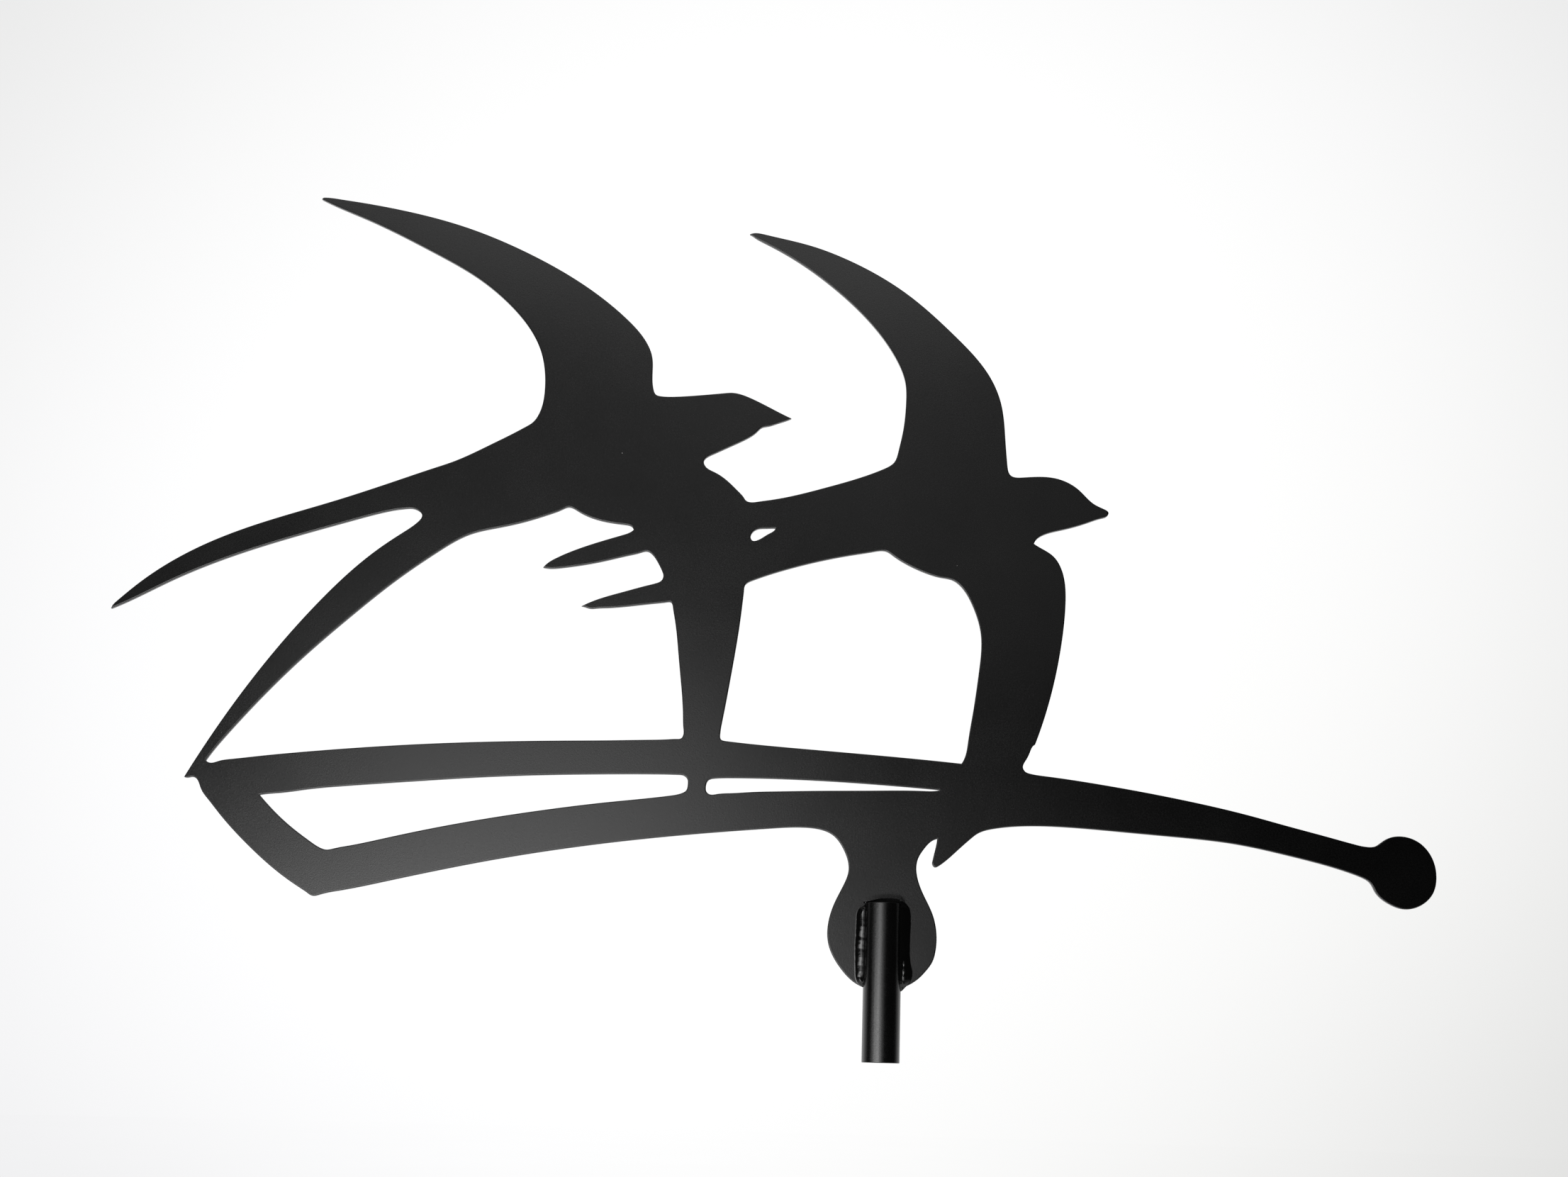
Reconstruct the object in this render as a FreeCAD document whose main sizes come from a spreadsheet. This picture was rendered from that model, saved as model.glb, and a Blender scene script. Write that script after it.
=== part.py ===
import FreeCAD, Part
import Sketcher
import os

# Swallow weathervane.
# A flat steel silhouette, two swallows over a long arrow, stands in the XZ plane and is welded to a short upright
# tube. The tube turns on two small ball bearings. Their inner rings sit on the spindle that carries the vane.
#
# Frame: +Z up along the spin axis, +X towards the arrow's round point, the plate's faces look along -Y and +Y.
# Origin: on the spin axis, at the underside of the lower inner ring, where the spindle's shoulder ends.

doc = FreeCAD.newDocument("swallow_weathervane")

# ---------------------------------------------------------------------------------------------------------
# Driving dimensions, in millimetres. Radii are measured from the axis they belong to.
# ---------------------------------------------------------------------------------------------------------
DIMS = [
    ("plate_thick", 3.0, "thickness of the silhouette plate"),
    ("notch_gap", 0.1, "gap between the tube and the sides of the plate's notch"),
    ("notch_top_gap", 0.6, "gap between the tube's top end and the notch"),
    ("notch_low", 20.0, "where the notch starts, under the plate's lowest edge"),
    ("tube_rad", 10.0, "outside radius of the tube"),
    ("bore_rad", 8.0, "bore radius of the tube"),
    ("tube_low", -7.0, "level of the tube's bottom end"),
    ("tube_high", 75.75, "level of the tube's top end"),
    ("tube_edge", 0.4, "deburred outer edge of the tube"),
    ("snap_low", -1.05, "lower side of the retaining ring's groove"),
    ("snap_high", 0.05, "upper side of the retaining ring's groove"),
    ("snap_rad", 8.4, "radius of the retaining ring's groove"),
    ("weld_prep", 1.1, "depth and half width of the weld groove round the plug"),
    ("weld_crown", 0.25, "height of the plug's weld over the tube's end"),
    ("snap_thick", 1.0, "thickness of the retaining ring"),
    ("snap_out", 8.35, "outside radius of the fitted retaining ring"),
    ("snap_in", 6.7, "inside radius of the retaining ring"),
    ("eye_rad", 1.35, "radius of one eye of the retaining ring"),
    ("eye_out", 6.3, "distance of the eyes from the axis, along the ring's opening"),
    ("eye_side", 2.4, "distance of the eyes from the middle of the opening"),
    ("eye_hole", 0.7, "radius of the plier hole in an eye"),
    ("snap_gap", 1.0, "half width of the ring's opening"),
    ("brg_width", 5.0, "bearing width"),
    ("brg_bore", 4.0, "bore radius of the bearing"),
    ("brg_out", 8.0, "outside radius of the bearing"),
    ("brg_edge", 0.25, "edge break on the outer ring"),
    ("pitch_rad", 6.0, "radius of the circle of balls"),
    ("ball_rad", 1.0, "ball radius"),
    ("race_rad", 1.04, "section radius of the raceways"),
    ("inner_land", 5.3, "shoulder radius of the inner ring"),
    ("outer_land", 6.7, "shoulder radius of the outer ring"),
    ("seat_rad", 7.0, "radius of the shield's seat in the outer ring"),
    ("seat_deep", 0.6, "depth of the shield's seat"),
    ("shield_thick", 0.25, "thickness of the shield"),
    ("shield_in", 5.42, "inner radius of the shield"),
    ("shield_lip", 0.12, "how far the shield's inner part is dished outwards"),
    ("shield_bend", 6.1, "radius where the shield is dished"),
    ("cage_in", 5.5, "inner radius of the ball cage"),
    ("cage_out", 6.5, "outer radius of the ball cage"),
    ("cage_low", 0.7, "depth of the cage's fingers under the ball centres"),
    ("cage_high", 1.45, "height of the cage's back over the ball centres"),
    ("pocket_rad", 1.06, "radius of the cage's ball pockets"),
    ("high_brg", 63.75, "level of the upper bearing's underside"),
    ("spacer_out", 7.95, "outside radius of the spacer tube"),
    ("spacer_in", 6.95, "inner radius of the spacer tube"),
    ("sleeve_out", 5.0, "outside radius of the inner spacer sleeve"),
    ("plug_room", 3.5, "depth of the room under the plug for the spindle's end"),
    ("plug_room_rad", 6.95, "radius of that room"),
    ("left_x", 10.85, "centre line of the left front weld, from the axis"),
    ("left_rad", 3.25, "radius of the left front weld"),
    ("left_low", 32.6, "lower end of the left front weld"),
    ("left_high", 73.4, "upper end of the left front weld"),
    ("right_x", 11.9, "centre line of the right front weld, from the axis"),
    ("right_rad", 3.5, "radius of the right front weld"),
    ("right_low", 31.3, "lower end of the right front weld"),
    ("right_high", 73.4, "upper end of the right front weld"),
    ("back_x", 11.1, "centre line of the back welds, from the axis"),
    ("back_rad", 3.2, "radius of the back welds"),
    ("back_low", 33.2, "lower end of the back welds"),
    ("back_high", 72.4, "upper end of the back welds"),
]
BALLS = 9      # balls in each bearing

V = {}
dims = doc.addObject("Spreadsheet::Sheet", "dims")
for row, (name, size, note) in enumerate(DIMS, start=1):
    dims.set("A%d" % row, name)
    dims.set("B%d" % row, str(size))
    dims.set("C%d" % row, note)
    dims.setAlias("B%d" % row, name)
    V[name] = size
doc.recompute()


def bound(text):
    """A sum or product of sheet names and numbers, parted by blanks, as an expression that reads the sheet."""
    return " ".join("dims." + word if word in V else word for word in text.split())


def number(text):
    """The number that the same sum or product gives, to draw sketch geometry where its constraints will hold it."""
    total, sign, factor = 0.0, 1.0, None
    for word in text.split():
        if word in ("+", "-"):
            if factor is not None:
                total += sign * factor
            factor, sign = None, 1.0 if word == "+" else -1.0
        elif word != "*":
            size = V[word] if word in V else float(word)
            factor = size if factor is None else factor * size
    return total + sign * factor


# ---------------------------------------------------------------------------------------------------------
# Helpers for sketches and bodies
# ---------------------------------------------------------------------------------------------------------
KEPT = []      # the sub-parts, in the order they are made


def keep(obj, label, level="0"):
    obj.Label = label
    obj.Placement = FreeCAD.Placement(FreeCAD.Vector(0, 0, number(level)), FreeCAD.Rotation())
    if level != "0":
        obj.setExpression("Placement.Base.z", bound(level))
    KEPT.append(obj)
    return obj


def new_sketch(body, name, role):
    sketch = body.newObject("Sketcher::SketchObject", name)
    plane = [f for f in body.Origin.OriginFeatures if f.Role == role][0]
    sketch.AttachmentSupport = [(plane, "")]
    sketch.MapMode = "FlatFace"
    return sketch


def pin(sketch, geo, pos, across, up):
    """Hold a sketch point at two sizes from the sketch's origin. A size of 0 puts the point on the axis."""
    for text, kind, axis in ((across, "DistanceX", -2), (up, "DistanceY", -1)):
        size = number(text)
        if text == "0":
            sketch.addConstraint(Sketcher.Constraint("PointOnObject", geo, pos, axis))
        elif size >= 0:
            n = sketch.addConstraint(Sketcher.Constraint(kind, -1, 1, geo, pos, size))
            sketch.setExpression("Constraints[%d]" % n, bound(text))
        else:
            n = sketch.addConstraint(Sketcher.Constraint(kind, geo, pos, -1, 1, -size))
            sketch.setExpression("Constraints[%d]" % n, "-1 * ( %s )" % bound(text))


def polygon(sketch, corners):
    points = [FreeCAD.Vector(number(a), number(b), 0) for a, b in corners]
    first, n = sketch.GeometryCount, len(corners)
    for i in range(n):
        sketch.addGeometry(Part.LineSegment(points[i], points[(i + 1) % n]), False)
    for i in range(n):
        sketch.addConstraint(Sketcher.Constraint("Coincident", first + i, 2, first + (i + 1) % n, 1))
    for i, (a, b) in enumerate(corners):
        pin(sketch, first + i, 1, a, b)


def circle(sketch, across, up, radius):
    shape = Part.Circle(FreeCAD.Vector(number(across), number(up), 0), FreeCAD.Vector(0, 0, 1), number(radius))
    geo = sketch.addGeometry(shape, False)
    pin(sketch, geo, 3, across, up)
    n = sketch.addConstraint(Sketcher.Constraint("Radius", geo, number(radius)))
    sketch.setExpression("Constraints[%d]" % n, bound(radius))


def changed(feature, before, more, what):
    """Stop if a feature that should add or cut material did nothing."""
    doc.recompute()
    after = feature.Shape.Volume
    if (after - before if more else before - after) < 1e-3:
        raise RuntimeError(what + " changed nothing")
    return after


def turned(label, corners, races=()):
    """A body turned about Z from a section in the XZ plane, with round raceways cut into it."""
    body = doc.addObject("PartDesign::Body", label)
    section = new_sketch(body, label + "_section", "XZ_Plane")
    polygon(section, corners)
    rev = body.newObject("PartDesign::Revolution", label + "_turned")
    rev.Profile = section
    rev.ReferenceAxis = (section, ["V_Axis"])
    rev.Angle = 360.0
    volume = changed(rev, 0.0, True, label + "_turned")
    for i, (across, up, radius) in enumerate(races):
        ball_track = new_sketch(body, "%s_track_%d" % (label, i), "XZ_Plane")
        circle(ball_track, across, up, radius)
        race = body.newObject("PartDesign::Groove", "%s_race_%d" % (label, i))
        race.Profile = ball_track
        race.ReferenceAxis = (ball_track, ["V_Axis"])
        race.Angle = 360.0
        volume = changed(race, volume, False, race.Name)
    return body


# ---------------------------------------------------------------------------------------------------------
# Outline of the silhouette: points (x, z) in millimetres. Each inner list is one smooth edge through its points,
# and consecutive edges share their end points, which are the corners. The outer outline comes first, then the
# openings.
# ---------------------------------------------------------------------------------------------------------
OUTLINE = [
    # outer outline
    [
     [(-376.92, 132.65), (-374.56, 132.47), (-372.35, 132.83), (-370.75, 132.33), (-367.47, 126.89), (-362.97, 120.93),
      (-356.00, 113.09), (-339.93, 97.37), (-316.32, 79.05), (-308.26, 74.14), (-306.15, 72.82), (-303.83, 71.42),
      (-298.72, 72.22), (-289.73, 74.29), (-264.63, 80.01), (-210.30, 92.52), (-112.85, 108.26), (-59.40, 113.86),
      (-42.18, 114.71), (-27.07, 110.71), (-21.89, 104.04), (-18.86, 92.20), (-20.90, 85.79), (-26.15, 74.74),
      (-28.69, 53.61), (-22.04, 41.17), (-13.70, 33.41), (1.46, 30.12), (19.37, 36.94), (23.11, 40.92), (26.24, 45.34),
      (28.06, 51.53), (26.22, 70.66), (20.37, 82.78), (18.04, 99.49), (21.42, 105.27), (26.26, 109.93), (28.18, 110.59)],
     [(28.18, 110.59), (27.69, 107.21), (26.52, 102.12), (25.82, 98.94), (25.70, 96.96), (27.19, 95.44), (28.78, 95.97),
      (30.85, 97.38), (40.52, 106.05), (46.25, 111.25), (49.37, 113.75), (58.50, 116.87), (73.88, 118.65), (96.36, 118.74),
      (130.54, 116.75), (159.47, 114.86), (186.35, 112.35), (217.03, 106.55), (248.96, 98.32), (254.12, 96.44),
      (258.58, 93.73), (261.36, 88.78), (263.22, 86.45), (268.07, 82.95), (276.81, 80.22), (291.68, 88.72),
      (293.92, 97.03), (292.53, 106.59), (285.69, 115.63), (278.11, 118.65), (268.78, 117.56), (264.79, 115.03),
      (261.87, 113.16), (258.21, 112.72), (250.58, 114.01), (237.02, 117.41), (213.99, 123.05), (196.57, 127.44),
      (159.41, 135.17), (110.07, 143.00), (87.01, 145.78), (78.11, 146.94), (74.72, 148.42), (73.85, 150.29),
      (75.45, 154.19), (77.70, 158.89), (78.70, 161.21), (80.38, 162.89)],
     [(80.38, 162.89), (87.03, 182.91), (95.05, 221.40), (96.89, 242.28), (94.68, 260.25), (90.27, 267.44),
      (84.09, 271.58), (79.47, 274.36)],
     [(79.47, 274.36), (80.90, 276.88), (85.23, 279.78), (94.57, 282.60), (109.08, 287.17), (114.67, 289.29),
      (117.55, 290.14), (119.61, 291.01), (120.70, 292.89), (117.58, 295.39), (112.06, 298.24), (103.95, 306.00),
      (92.93, 311.67), (74.04, 312.12), (66.49, 313.03), (64.57, 319.56), (63.42, 334.24), (61.18, 353.57),
      (55.01, 369.28), (34.77, 393.55), (8.12, 417.25), (-27.71, 437.88), (-45.67, 444.63), (-73.37, 451.18),
      (-80.31, 451.94), (-82.55, 451.27)],
     [(-82.55, 451.27), (-81.24, 450.67), (-79.61, 449.51), (-74.84, 446.81), (-66.63, 442.57), (-55.43, 436.00),
      (-33.89, 420.22), (-11.01, 397.92), (2.03, 379.05), (7.26, 365.36), (7.84, 353.65), (6.43, 337.23), (3.96, 325.00),
      (1.68, 318.68), (-4.00, 314.78), (-12.01, 311.30), (-35.43, 303.34), (-65.62, 295.39), (-73.24, 294.08),
      (-78.21, 293.81), (-79.55, 294.36), (-81.39, 296.70), (-83.41, 298.91), (-92.43, 307.13), (-97.75, 310.34),
      (-103.23, 313.96), (-103.88, 316.78), (-102.81, 318.35), (-98.99, 320.72), (-89.27, 325.61), (-81.29, 329.73),
      (-77.49, 332.12), (-75.04, 334.24), (-72.19, 336.93), (-69.04, 337.75), (-63.84, 339.48), (-57.99, 341.65),
      (-55.99, 342.60)],
     [(-55.99, 342.60), (-69.05, 349.01), (-79.42, 353.95), (-89.98, 356.64), (-93.71, 356.31), (-102.15, 355.30),
      (-121.53, 353.44), (-129.01, 353.48), (-132.08, 354.38), (-133.66, 357.64), (-134.55, 365.56), (-135.29, 377.26),
      (-137.45, 382.82), (-150.39, 398.59), (-175.57, 418.21), (-208.28, 436.44), (-246.30, 451.61), (-278.74, 459.77),
      (-307.56, 464.66), (-316.72, 465.91), (-323.17, 466.67), (-325.41, 466.76), (-326.86, 466.63), (-327.61, 465.72)],
     [(-327.61, 465.72), (-320.23, 462.22), (-301.30, 454.39), (-262.12, 435.55), (-236.43, 421.09), (-216.46, 404.92),
      (-203.65, 389.62), (-198.36, 379.46), (-194.47, 355.69), (-196.91, 341.50), (-200.43, 336.10), (-203.91, 333.68),
      (-209.90, 330.07), (-221.46, 323.61), (-243.44, 312.29), (-254.17, 308.18), (-267.47, 303.08), (-306.52, 288.39),
      (-353.45, 271.98), (-382.44, 258.56), (-410.03, 239.63), (-422.10, 228.44), (-424.51, 225.57), (-425.08, 223.99)],
     [(-425.08, 223.99), (-414.07, 229.37), (-394.78, 239.95), (-341.48, 262.66), (-296.81, 277.27), (-280.38, 282.24),
      (-271.94, 284.15), (-267.51, 284.77), (-263.07, 284.71), (-258.42, 281.12), (-261.19, 276.67), (-267.68, 271.58),
      (-279.54, 262.83), (-310.81, 231.97), (-358.53, 165.43), (-376.92, 132.65)],
    ],
    # opening behind the left bird's post
    [
     [(-141.25, 276.17), (-142.53, 275.06), (-147.10, 273.06), (-166.48, 266.42), (-182.89, 259.13), (-187.51, 256.17),
      (-190.02, 253.44)],
     [(-190.02, 253.44), (-187.06, 253.05), (-179.36, 253.66), (-158.29, 257.68), (-142.35, 261.87), (-137.31, 263.26),
      (-133.19, 264.15), (-130.12, 262.19), (-126.59, 257.06), (-124.46, 252.83), (-123.84, 250.43), (-124.91, 247.81),
      (-127.29, 246.49), (-131.36, 245.28), (-145.70, 240.92), (-161.07, 235.70), (-167.94, 232.30)],
     [(-167.94, 232.30), (-166.81, 232.12), (-163.00, 231.16), (-159.76, 231.39), (-153.35, 231.86), (-141.77, 233.11),
      (-125.94, 235.27), (-121.73, 235.86), (-119.14, 235.90), (-117.87, 232.79), (-116.45, 225.44), (-113.51, 203.90),
      (-110.13, 173.09), (-109.67, 166.62), (-109.63, 162.63), (-110.57, 161.04), (-112.98, 160.61), (-116.97, 160.34),
      (-129.19, 159.67), (-148.41, 158.87), (-175.64, 157.95), (-251.50, 153.94), (-312.20, 148.21), (-336.51, 145.25),
      (-353.09, 142.99), (-358.46, 141.99), (-362.73, 140.75), (-366.11, 141.96)],
     [(-366.11, 141.96), (-363.74, 145.70), (-355.57, 156.73), (-319.58, 198.23), (-292.47, 224.46), (-269.07, 245.14),
      (-248.40, 260.88), (-231.32, 271.18), (-216.21, 275.33), (-203.15, 278.64), (-187.10, 284.16), (-181.60, 286.52),
      (-177.91, 288.05), (-172.01, 285.67), (-161.16, 281.28), (-146.69, 279.03), (-142.17, 277.75), (-141.25, 276.17)],
    ],
    # wide slot in the arrow's tail
    [
     [(-335.53, 124.11), (-332.86, 124.62), (-324.54, 125.55), (-310.98, 127.69), (-291.13, 130.10), (-251.82, 133.86),
      (-208.98, 137.52), (-156.56, 140.22), (-126.08, 141.12), (-117.15, 141.23), (-111.69, 141.21), (-108.25, 140.71),
      (-106.41, 138.87), (-106.12, 136.18), (-106.88, 132.85), (-109.11, 131.38), (-115.65, 129.81), (-126.78, 128.21),
      (-147.60, 125.57), (-180.45, 120.68), (-241.51, 108.95), (-266.77, 102.89), (-285.72, 98.38), (-293.28, 96.74),
      (-297.95, 95.94), (-300.34, 96.57), (-306.85, 100.24), (-318.29, 108.26), (-328.52, 117.04), (-335.53, 124.11)],
    ],
    # opening between the two posts
    [
     [(40.72, 151.43), (20.32, 153.03), (-41.52, 156.92), (-62.97, 158.26), (-75.18, 159.15), (-83.87, 159.91),
      (-87.36, 160.30), (-88.95, 160.80), (-89.59, 163.76), (-88.67, 171.13), (-84.61, 197.50), (-80.56, 228.93),
      (-79.56, 240.06), (-79.29, 243.78), (-78.96, 246.25), (-74.35, 249.58), (-58.89, 255.25), (-19.72, 265.37),
      (-9.17, 267.39), (-1.50, 267.76), (2.24, 265.36), (6.39, 262.63), (20.57, 256.06), (28.48, 253.90), (35.06, 252.55),
      (39.78, 248.94), (46.07, 238.50), (50.54, 223.76), (49.83, 202.34), (46.67, 179.06), (44.27, 163.76),
      (42.64, 155.17), (40.72, 151.43)],
    ],
    # narrow slot in the arrow's shaft
    [
     [(29.45, 136.84), (27.40, 136.38), (20.66, 136.13), (-6.83, 135.56), (-35.55, 134.67), (-57.28, 133.77),
      (-72.25, 132.96), (-83.21, 132.05), (-90.16, 131.42), (-94.37, 131.22), (-95.69, 132.17), (-96.33, 135.04),
      (-95.14, 138.62), (-91.40, 139.76), (-82.17, 140.22), (-67.17, 140.42), (-6.23, 138.90), (29.45, 136.84)],
    ],
    # small opening between the birds
    [
     [(-62.99, 279.16), (-63.55, 278.15), (-66.83, 275.87), (-69.94, 273.79), (-73.21, 271.99), (-75.59, 271.87),
      (-76.56, 273.36), (-73.97, 277.97), (-68.10, 279.00), (-64.60, 279.21), (-62.99, 279.16)],
    ],
]

# ---------------------------------------------------------------------------------------------------------
# silhouette_plate: 3 mm sheet steel, cut in one outline with five openings, notched for the tube
# ---------------------------------------------------------------------------------------------------------
plate = doc.addObject("PartDesign::Body", "silhouette_plate")
cut_line = new_sketch(plate, "cut_line", "XZ_Plane")
for loop in OUTLINE:
    edges = []
    for points in loop:
        ends = [FreeCAD.Vector(x, z, 0) for x, z in points]
        if len(ends) == 2:
            edges.append(Part.LineSegment(ends[0], ends[1]))
            continue
        smooth = Part.BSplineCurve()
        smooth.interpolate(ends)
        # one smooth edge is laid down in stretches of about four spans, which keeps its area and volume exact
        knots = smooth.getKnots()
        spans = len(knots) - 1
        stretches = max(1, round(spans / 4))
        cuts = [knots[round(i * spans / stretches)] for i in range(stretches + 1)]
        for start, stop in zip(cuts, cuts[1:]):
            stretch = smooth.copy()
            stretch.segment(start, stop)
            edges.append(stretch)
    first, n = cut_line.GeometryCount, len(edges)
    for edge in edges:
        cut_line.addGeometry(edge, False)
    for i in range(n):
        cut_line.addConstraint(Sketcher.Constraint("Coincident", first + i, 2, first + (i + 1) % n, 1))
for geo in range(cut_line.GeometryCount):
    cut_line.addConstraint(Sketcher.Constraint("Block", geo))
blank = plate.newObject("PartDesign::Pad", "plate_blank")
blank.Profile = cut_line
blank.SideType = "Symmetric"
blank.setExpression("Length", bound("plate_thick"))
volume = changed(blank, 0.0, True, "plate_blank")

notch_line = new_sketch(plate, "notch_line", "XZ_Plane")
side, top = "tube_rad + notch_gap", "tube_high + notch_top_gap"
polygon(notch_line, [("- tube_rad - notch_gap", "notch_low"), (side, "notch_low"), (side, top),
                     ("- tube_rad - notch_gap", top)])
notch = plate.newObject("PartDesign::Pocket", "tube_notch")
notch.Profile = notch_line
notch.Type = "ThroughAll"
notch.SideType = "Symmetric"
changed(notch, volume, False, "tube_notch")
plate.Tip = notch
keep(plate, "silhouette_plate")

# ---------------------------------------------------------------------------------------------------------
# pivot_tube: short steel tube with a groove for the retaining ring and a weld groove at its top
# ---------------------------------------------------------------------------------------------------------
keep(turned("pivot_tube", [
    ("bore_rad", "tube_low"),
    ("tube_rad - tube_edge", "tube_low"),
    ("tube_rad", "tube_low + tube_edge"),
    ("tube_rad", "tube_high - tube_edge"),
    ("tube_rad - tube_edge", "tube_high"),
    ("bore_rad + weld_prep", "tube_high"),
    ("bore_rad", "tube_high - weld_prep"),
    ("bore_rad", "snap_high"),
    ("snap_rad", "snap_high"),
    ("snap_rad", "snap_low"),
    ("bore_rad", "snap_low"),
]), "pivot_tube")

# ---------------------------------------------------------------------------------------------------------
# Welds between tube and plate: each a rounded bar that is cut to the tube's side and the plate's face
# ---------------------------------------------------------------------------------------------------------


def weld(label, side, front, x, rad, low, high):
    bar = doc.addObject("Part::Cylinder", label + "_bar")
    bar.setExpression("Radius", bound(rad))
    bar.setExpression("Height", bound("%s - %s - 2 * %s" % (high, low, rad)))
    ends = [doc.addObject("Part::Sphere", label + "_foot"), doc.addObject("Part::Sphere", label + "_head")]
    for ball, level in ((bar, "%s + %s" % (low, rad)), (ends[0], "%s + %s" % (low, rad)), (ends[1], "%s - %s" % (high, rad))):
        if ball is not bar:
            ball.setExpression("Radius", bound(rad))
        ball.setExpression("Placement.Base.x", bound("%d * %s" % (side, x)))
        ball.setExpression("Placement.Base.y", bound("%s0.5 * plate_thick" % ("-" if front else "")))
        ball.setExpression("Placement.Base.z", bound(level))
    whole = doc.addObject("Part::MultiFuse", label + "_whole")
    whole.Shapes = [bar] + ends

    tube_side = doc.addObject("Part::Cylinder", label + "_tube_side")
    tube_side.setExpression("Radius", bound("tube_rad"))
    tube_side.setExpression("Height", bound("tube_high - tube_low"))
    tube_side.setExpression("Placement.Base.z", bound("tube_low"))
    beside = doc.addObject("Part::Cut", label + "_beside_tube")
    beside.Base = whole
    beside.Tool = tube_side

    behind = doc.addObject("Part::Box", label + "_plate_side")
    behind.setExpression("Length", bound("4 * tube_rad"))
    behind.setExpression("Width", bound("2 * tube_rad"))
    behind.setExpression("Height", bound("tube_high - tube_low"))
    behind.setExpression("Placement.Base.x", bound("-2 * tube_rad"))
    behind.setExpression("Placement.Base.y", bound("-0.5 * plate_thick" if front else "0.5 * plate_thick - 2 * tube_rad"))
    behind.setExpression("Placement.Base.z", bound("tube_low"))
    bead = doc.addObject("Part::Cut", label)
    bead.Base = beside
    bead.Tool = behind
    return keep(bead, label)


weld("weld_front_left", -1, True, "left_x", "left_rad", "left_low", "left_high")
weld("weld_front_right", 1, True, "right_x", "right_rad", "right_low", "right_high")
weld("weld_back_left", -1, False, "back_x", "back_rad", "back_low", "back_high")
weld("weld_back_right", 1, False, "back_x", "back_rad", "back_low", "back_high")

# ---------------------------------------------------------------------------------------------------------
# Top plug and its weld: a turned plug whose skirt stands on the upper bearing's outer ring
# ---------------------------------------------------------------------------------------------------------
keep(turned("top_plug", [
    ("plug_room_rad", "high_brg + brg_width"),
    ("bore_rad", "high_brg + brg_width"),
    ("bore_rad", "tube_high - weld_prep"),
    ("bore_rad - weld_prep", "tube_high"),
    ("0", "tube_high"),
    ("0", "high_brg + brg_width + plug_room"),
    ("plug_room_rad", "high_brg + brg_width + plug_room"),
]), "top_plug")

keep(turned("top_plug_weld", [
    ("bore_rad", "tube_high - weld_prep"),
    ("bore_rad + weld_prep", "tube_high"),
    ("bore_rad + 0.5 * weld_prep", "tube_high + 0.75 * weld_crown"),
    ("bore_rad", "tube_high + weld_crown"),
    ("bore_rad - 0.5 * weld_prep", "tube_high + 0.75 * weld_crown"),
    ("bore_rad - weld_prep", "tube_high"),
]), "top_plug_weld")

# ---------------------------------------------------------------------------------------------------------
# Spacers between the bearings: one in the tube for the outer rings, one on the spindle for the inner rings
# ---------------------------------------------------------------------------------------------------------
keep(turned("bearing_spacer_tube", [
    ("spacer_in", "brg_width"), ("spacer_out", "brg_width"), ("spacer_out", "high_brg"), ("spacer_in", "high_brg"),
]), "bearing_spacer_tube")

keep(turned("inner_spacer_sleeve", [
    ("brg_bore", "brg_width"), ("sleeve_out", "brg_width"), ("sleeve_out", "high_brg"), ("brg_bore", "high_brg"),
]), "inner_spacer_sleeve")

# ---------------------------------------------------------------------------------------------------------
# retaining_ring: open spring ring with two eyes, under the lower bearing
# ---------------------------------------------------------------------------------------------------------
snap = doc.addObject("PartDesign::Body", "retaining_ring")
band_line = new_sketch(snap, "band_line", "XY_Plane")
circle(band_line, "0", "0", "snap_out")
circle(band_line, "0", "0", "snap_in")
band = snap.newObject("PartDesign::Pad", "snap_band")
band.Profile = band_line
band.Reversed = True
band.setExpression("Length", bound("snap_thick"))
volume = changed(band, 0.0, True, "snap_band")
eye_line = new_sketch(snap, "eye_line", "XY_Plane")
circle(eye_line, "eye_out", "eye_side", "eye_rad")
circle(eye_line, "eye_out", "- eye_side", "eye_rad")
eyes = snap.newObject("PartDesign::Pad", "snap_eyes")
eyes.Profile = eye_line
eyes.Reversed = True
eyes.setExpression("Length", bound("snap_thick"))
volume = changed(eyes, volume, True, "snap_eyes")
gap_line = new_sketch(snap, "gap_line", "XY_Plane")
polygon(gap_line, [("eye_out - 2 * eye_rad", "- snap_gap"), ("snap_out + 1", "- snap_gap"),
                   ("snap_out + 1", "snap_gap"), ("eye_out - 2 * eye_rad", "snap_gap")])
opening = snap.newObject("PartDesign::Pocket", "snap_opening")
opening.Profile = gap_line
opening.Type = "ThroughAll"
opening.SideType = "Symmetric"
volume = changed(opening, volume, False, "snap_opening")
hole_line = new_sketch(snap, "hole_line", "XY_Plane")
circle(hole_line, "eye_out", "eye_side", "eye_hole")
circle(hole_line, "eye_out", "- eye_side", "eye_hole")
holes = snap.newObject("PartDesign::Pocket", "snap_holes")
holes.Profile = hole_line
holes.Type = "ThroughAll"
holes.SideType = "Symmetric"
changed(holes, volume, False, "snap_holes")
snap.Tip = holes
keep(snap, "retaining_ring")

# ---------------------------------------------------------------------------------------------------------
# Two equal ball bearings, 8 x 16 x 5, each made at level 0 and set at its own level
# ---------------------------------------------------------------------------------------------------------
MID = "0.5 * brg_width"


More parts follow.
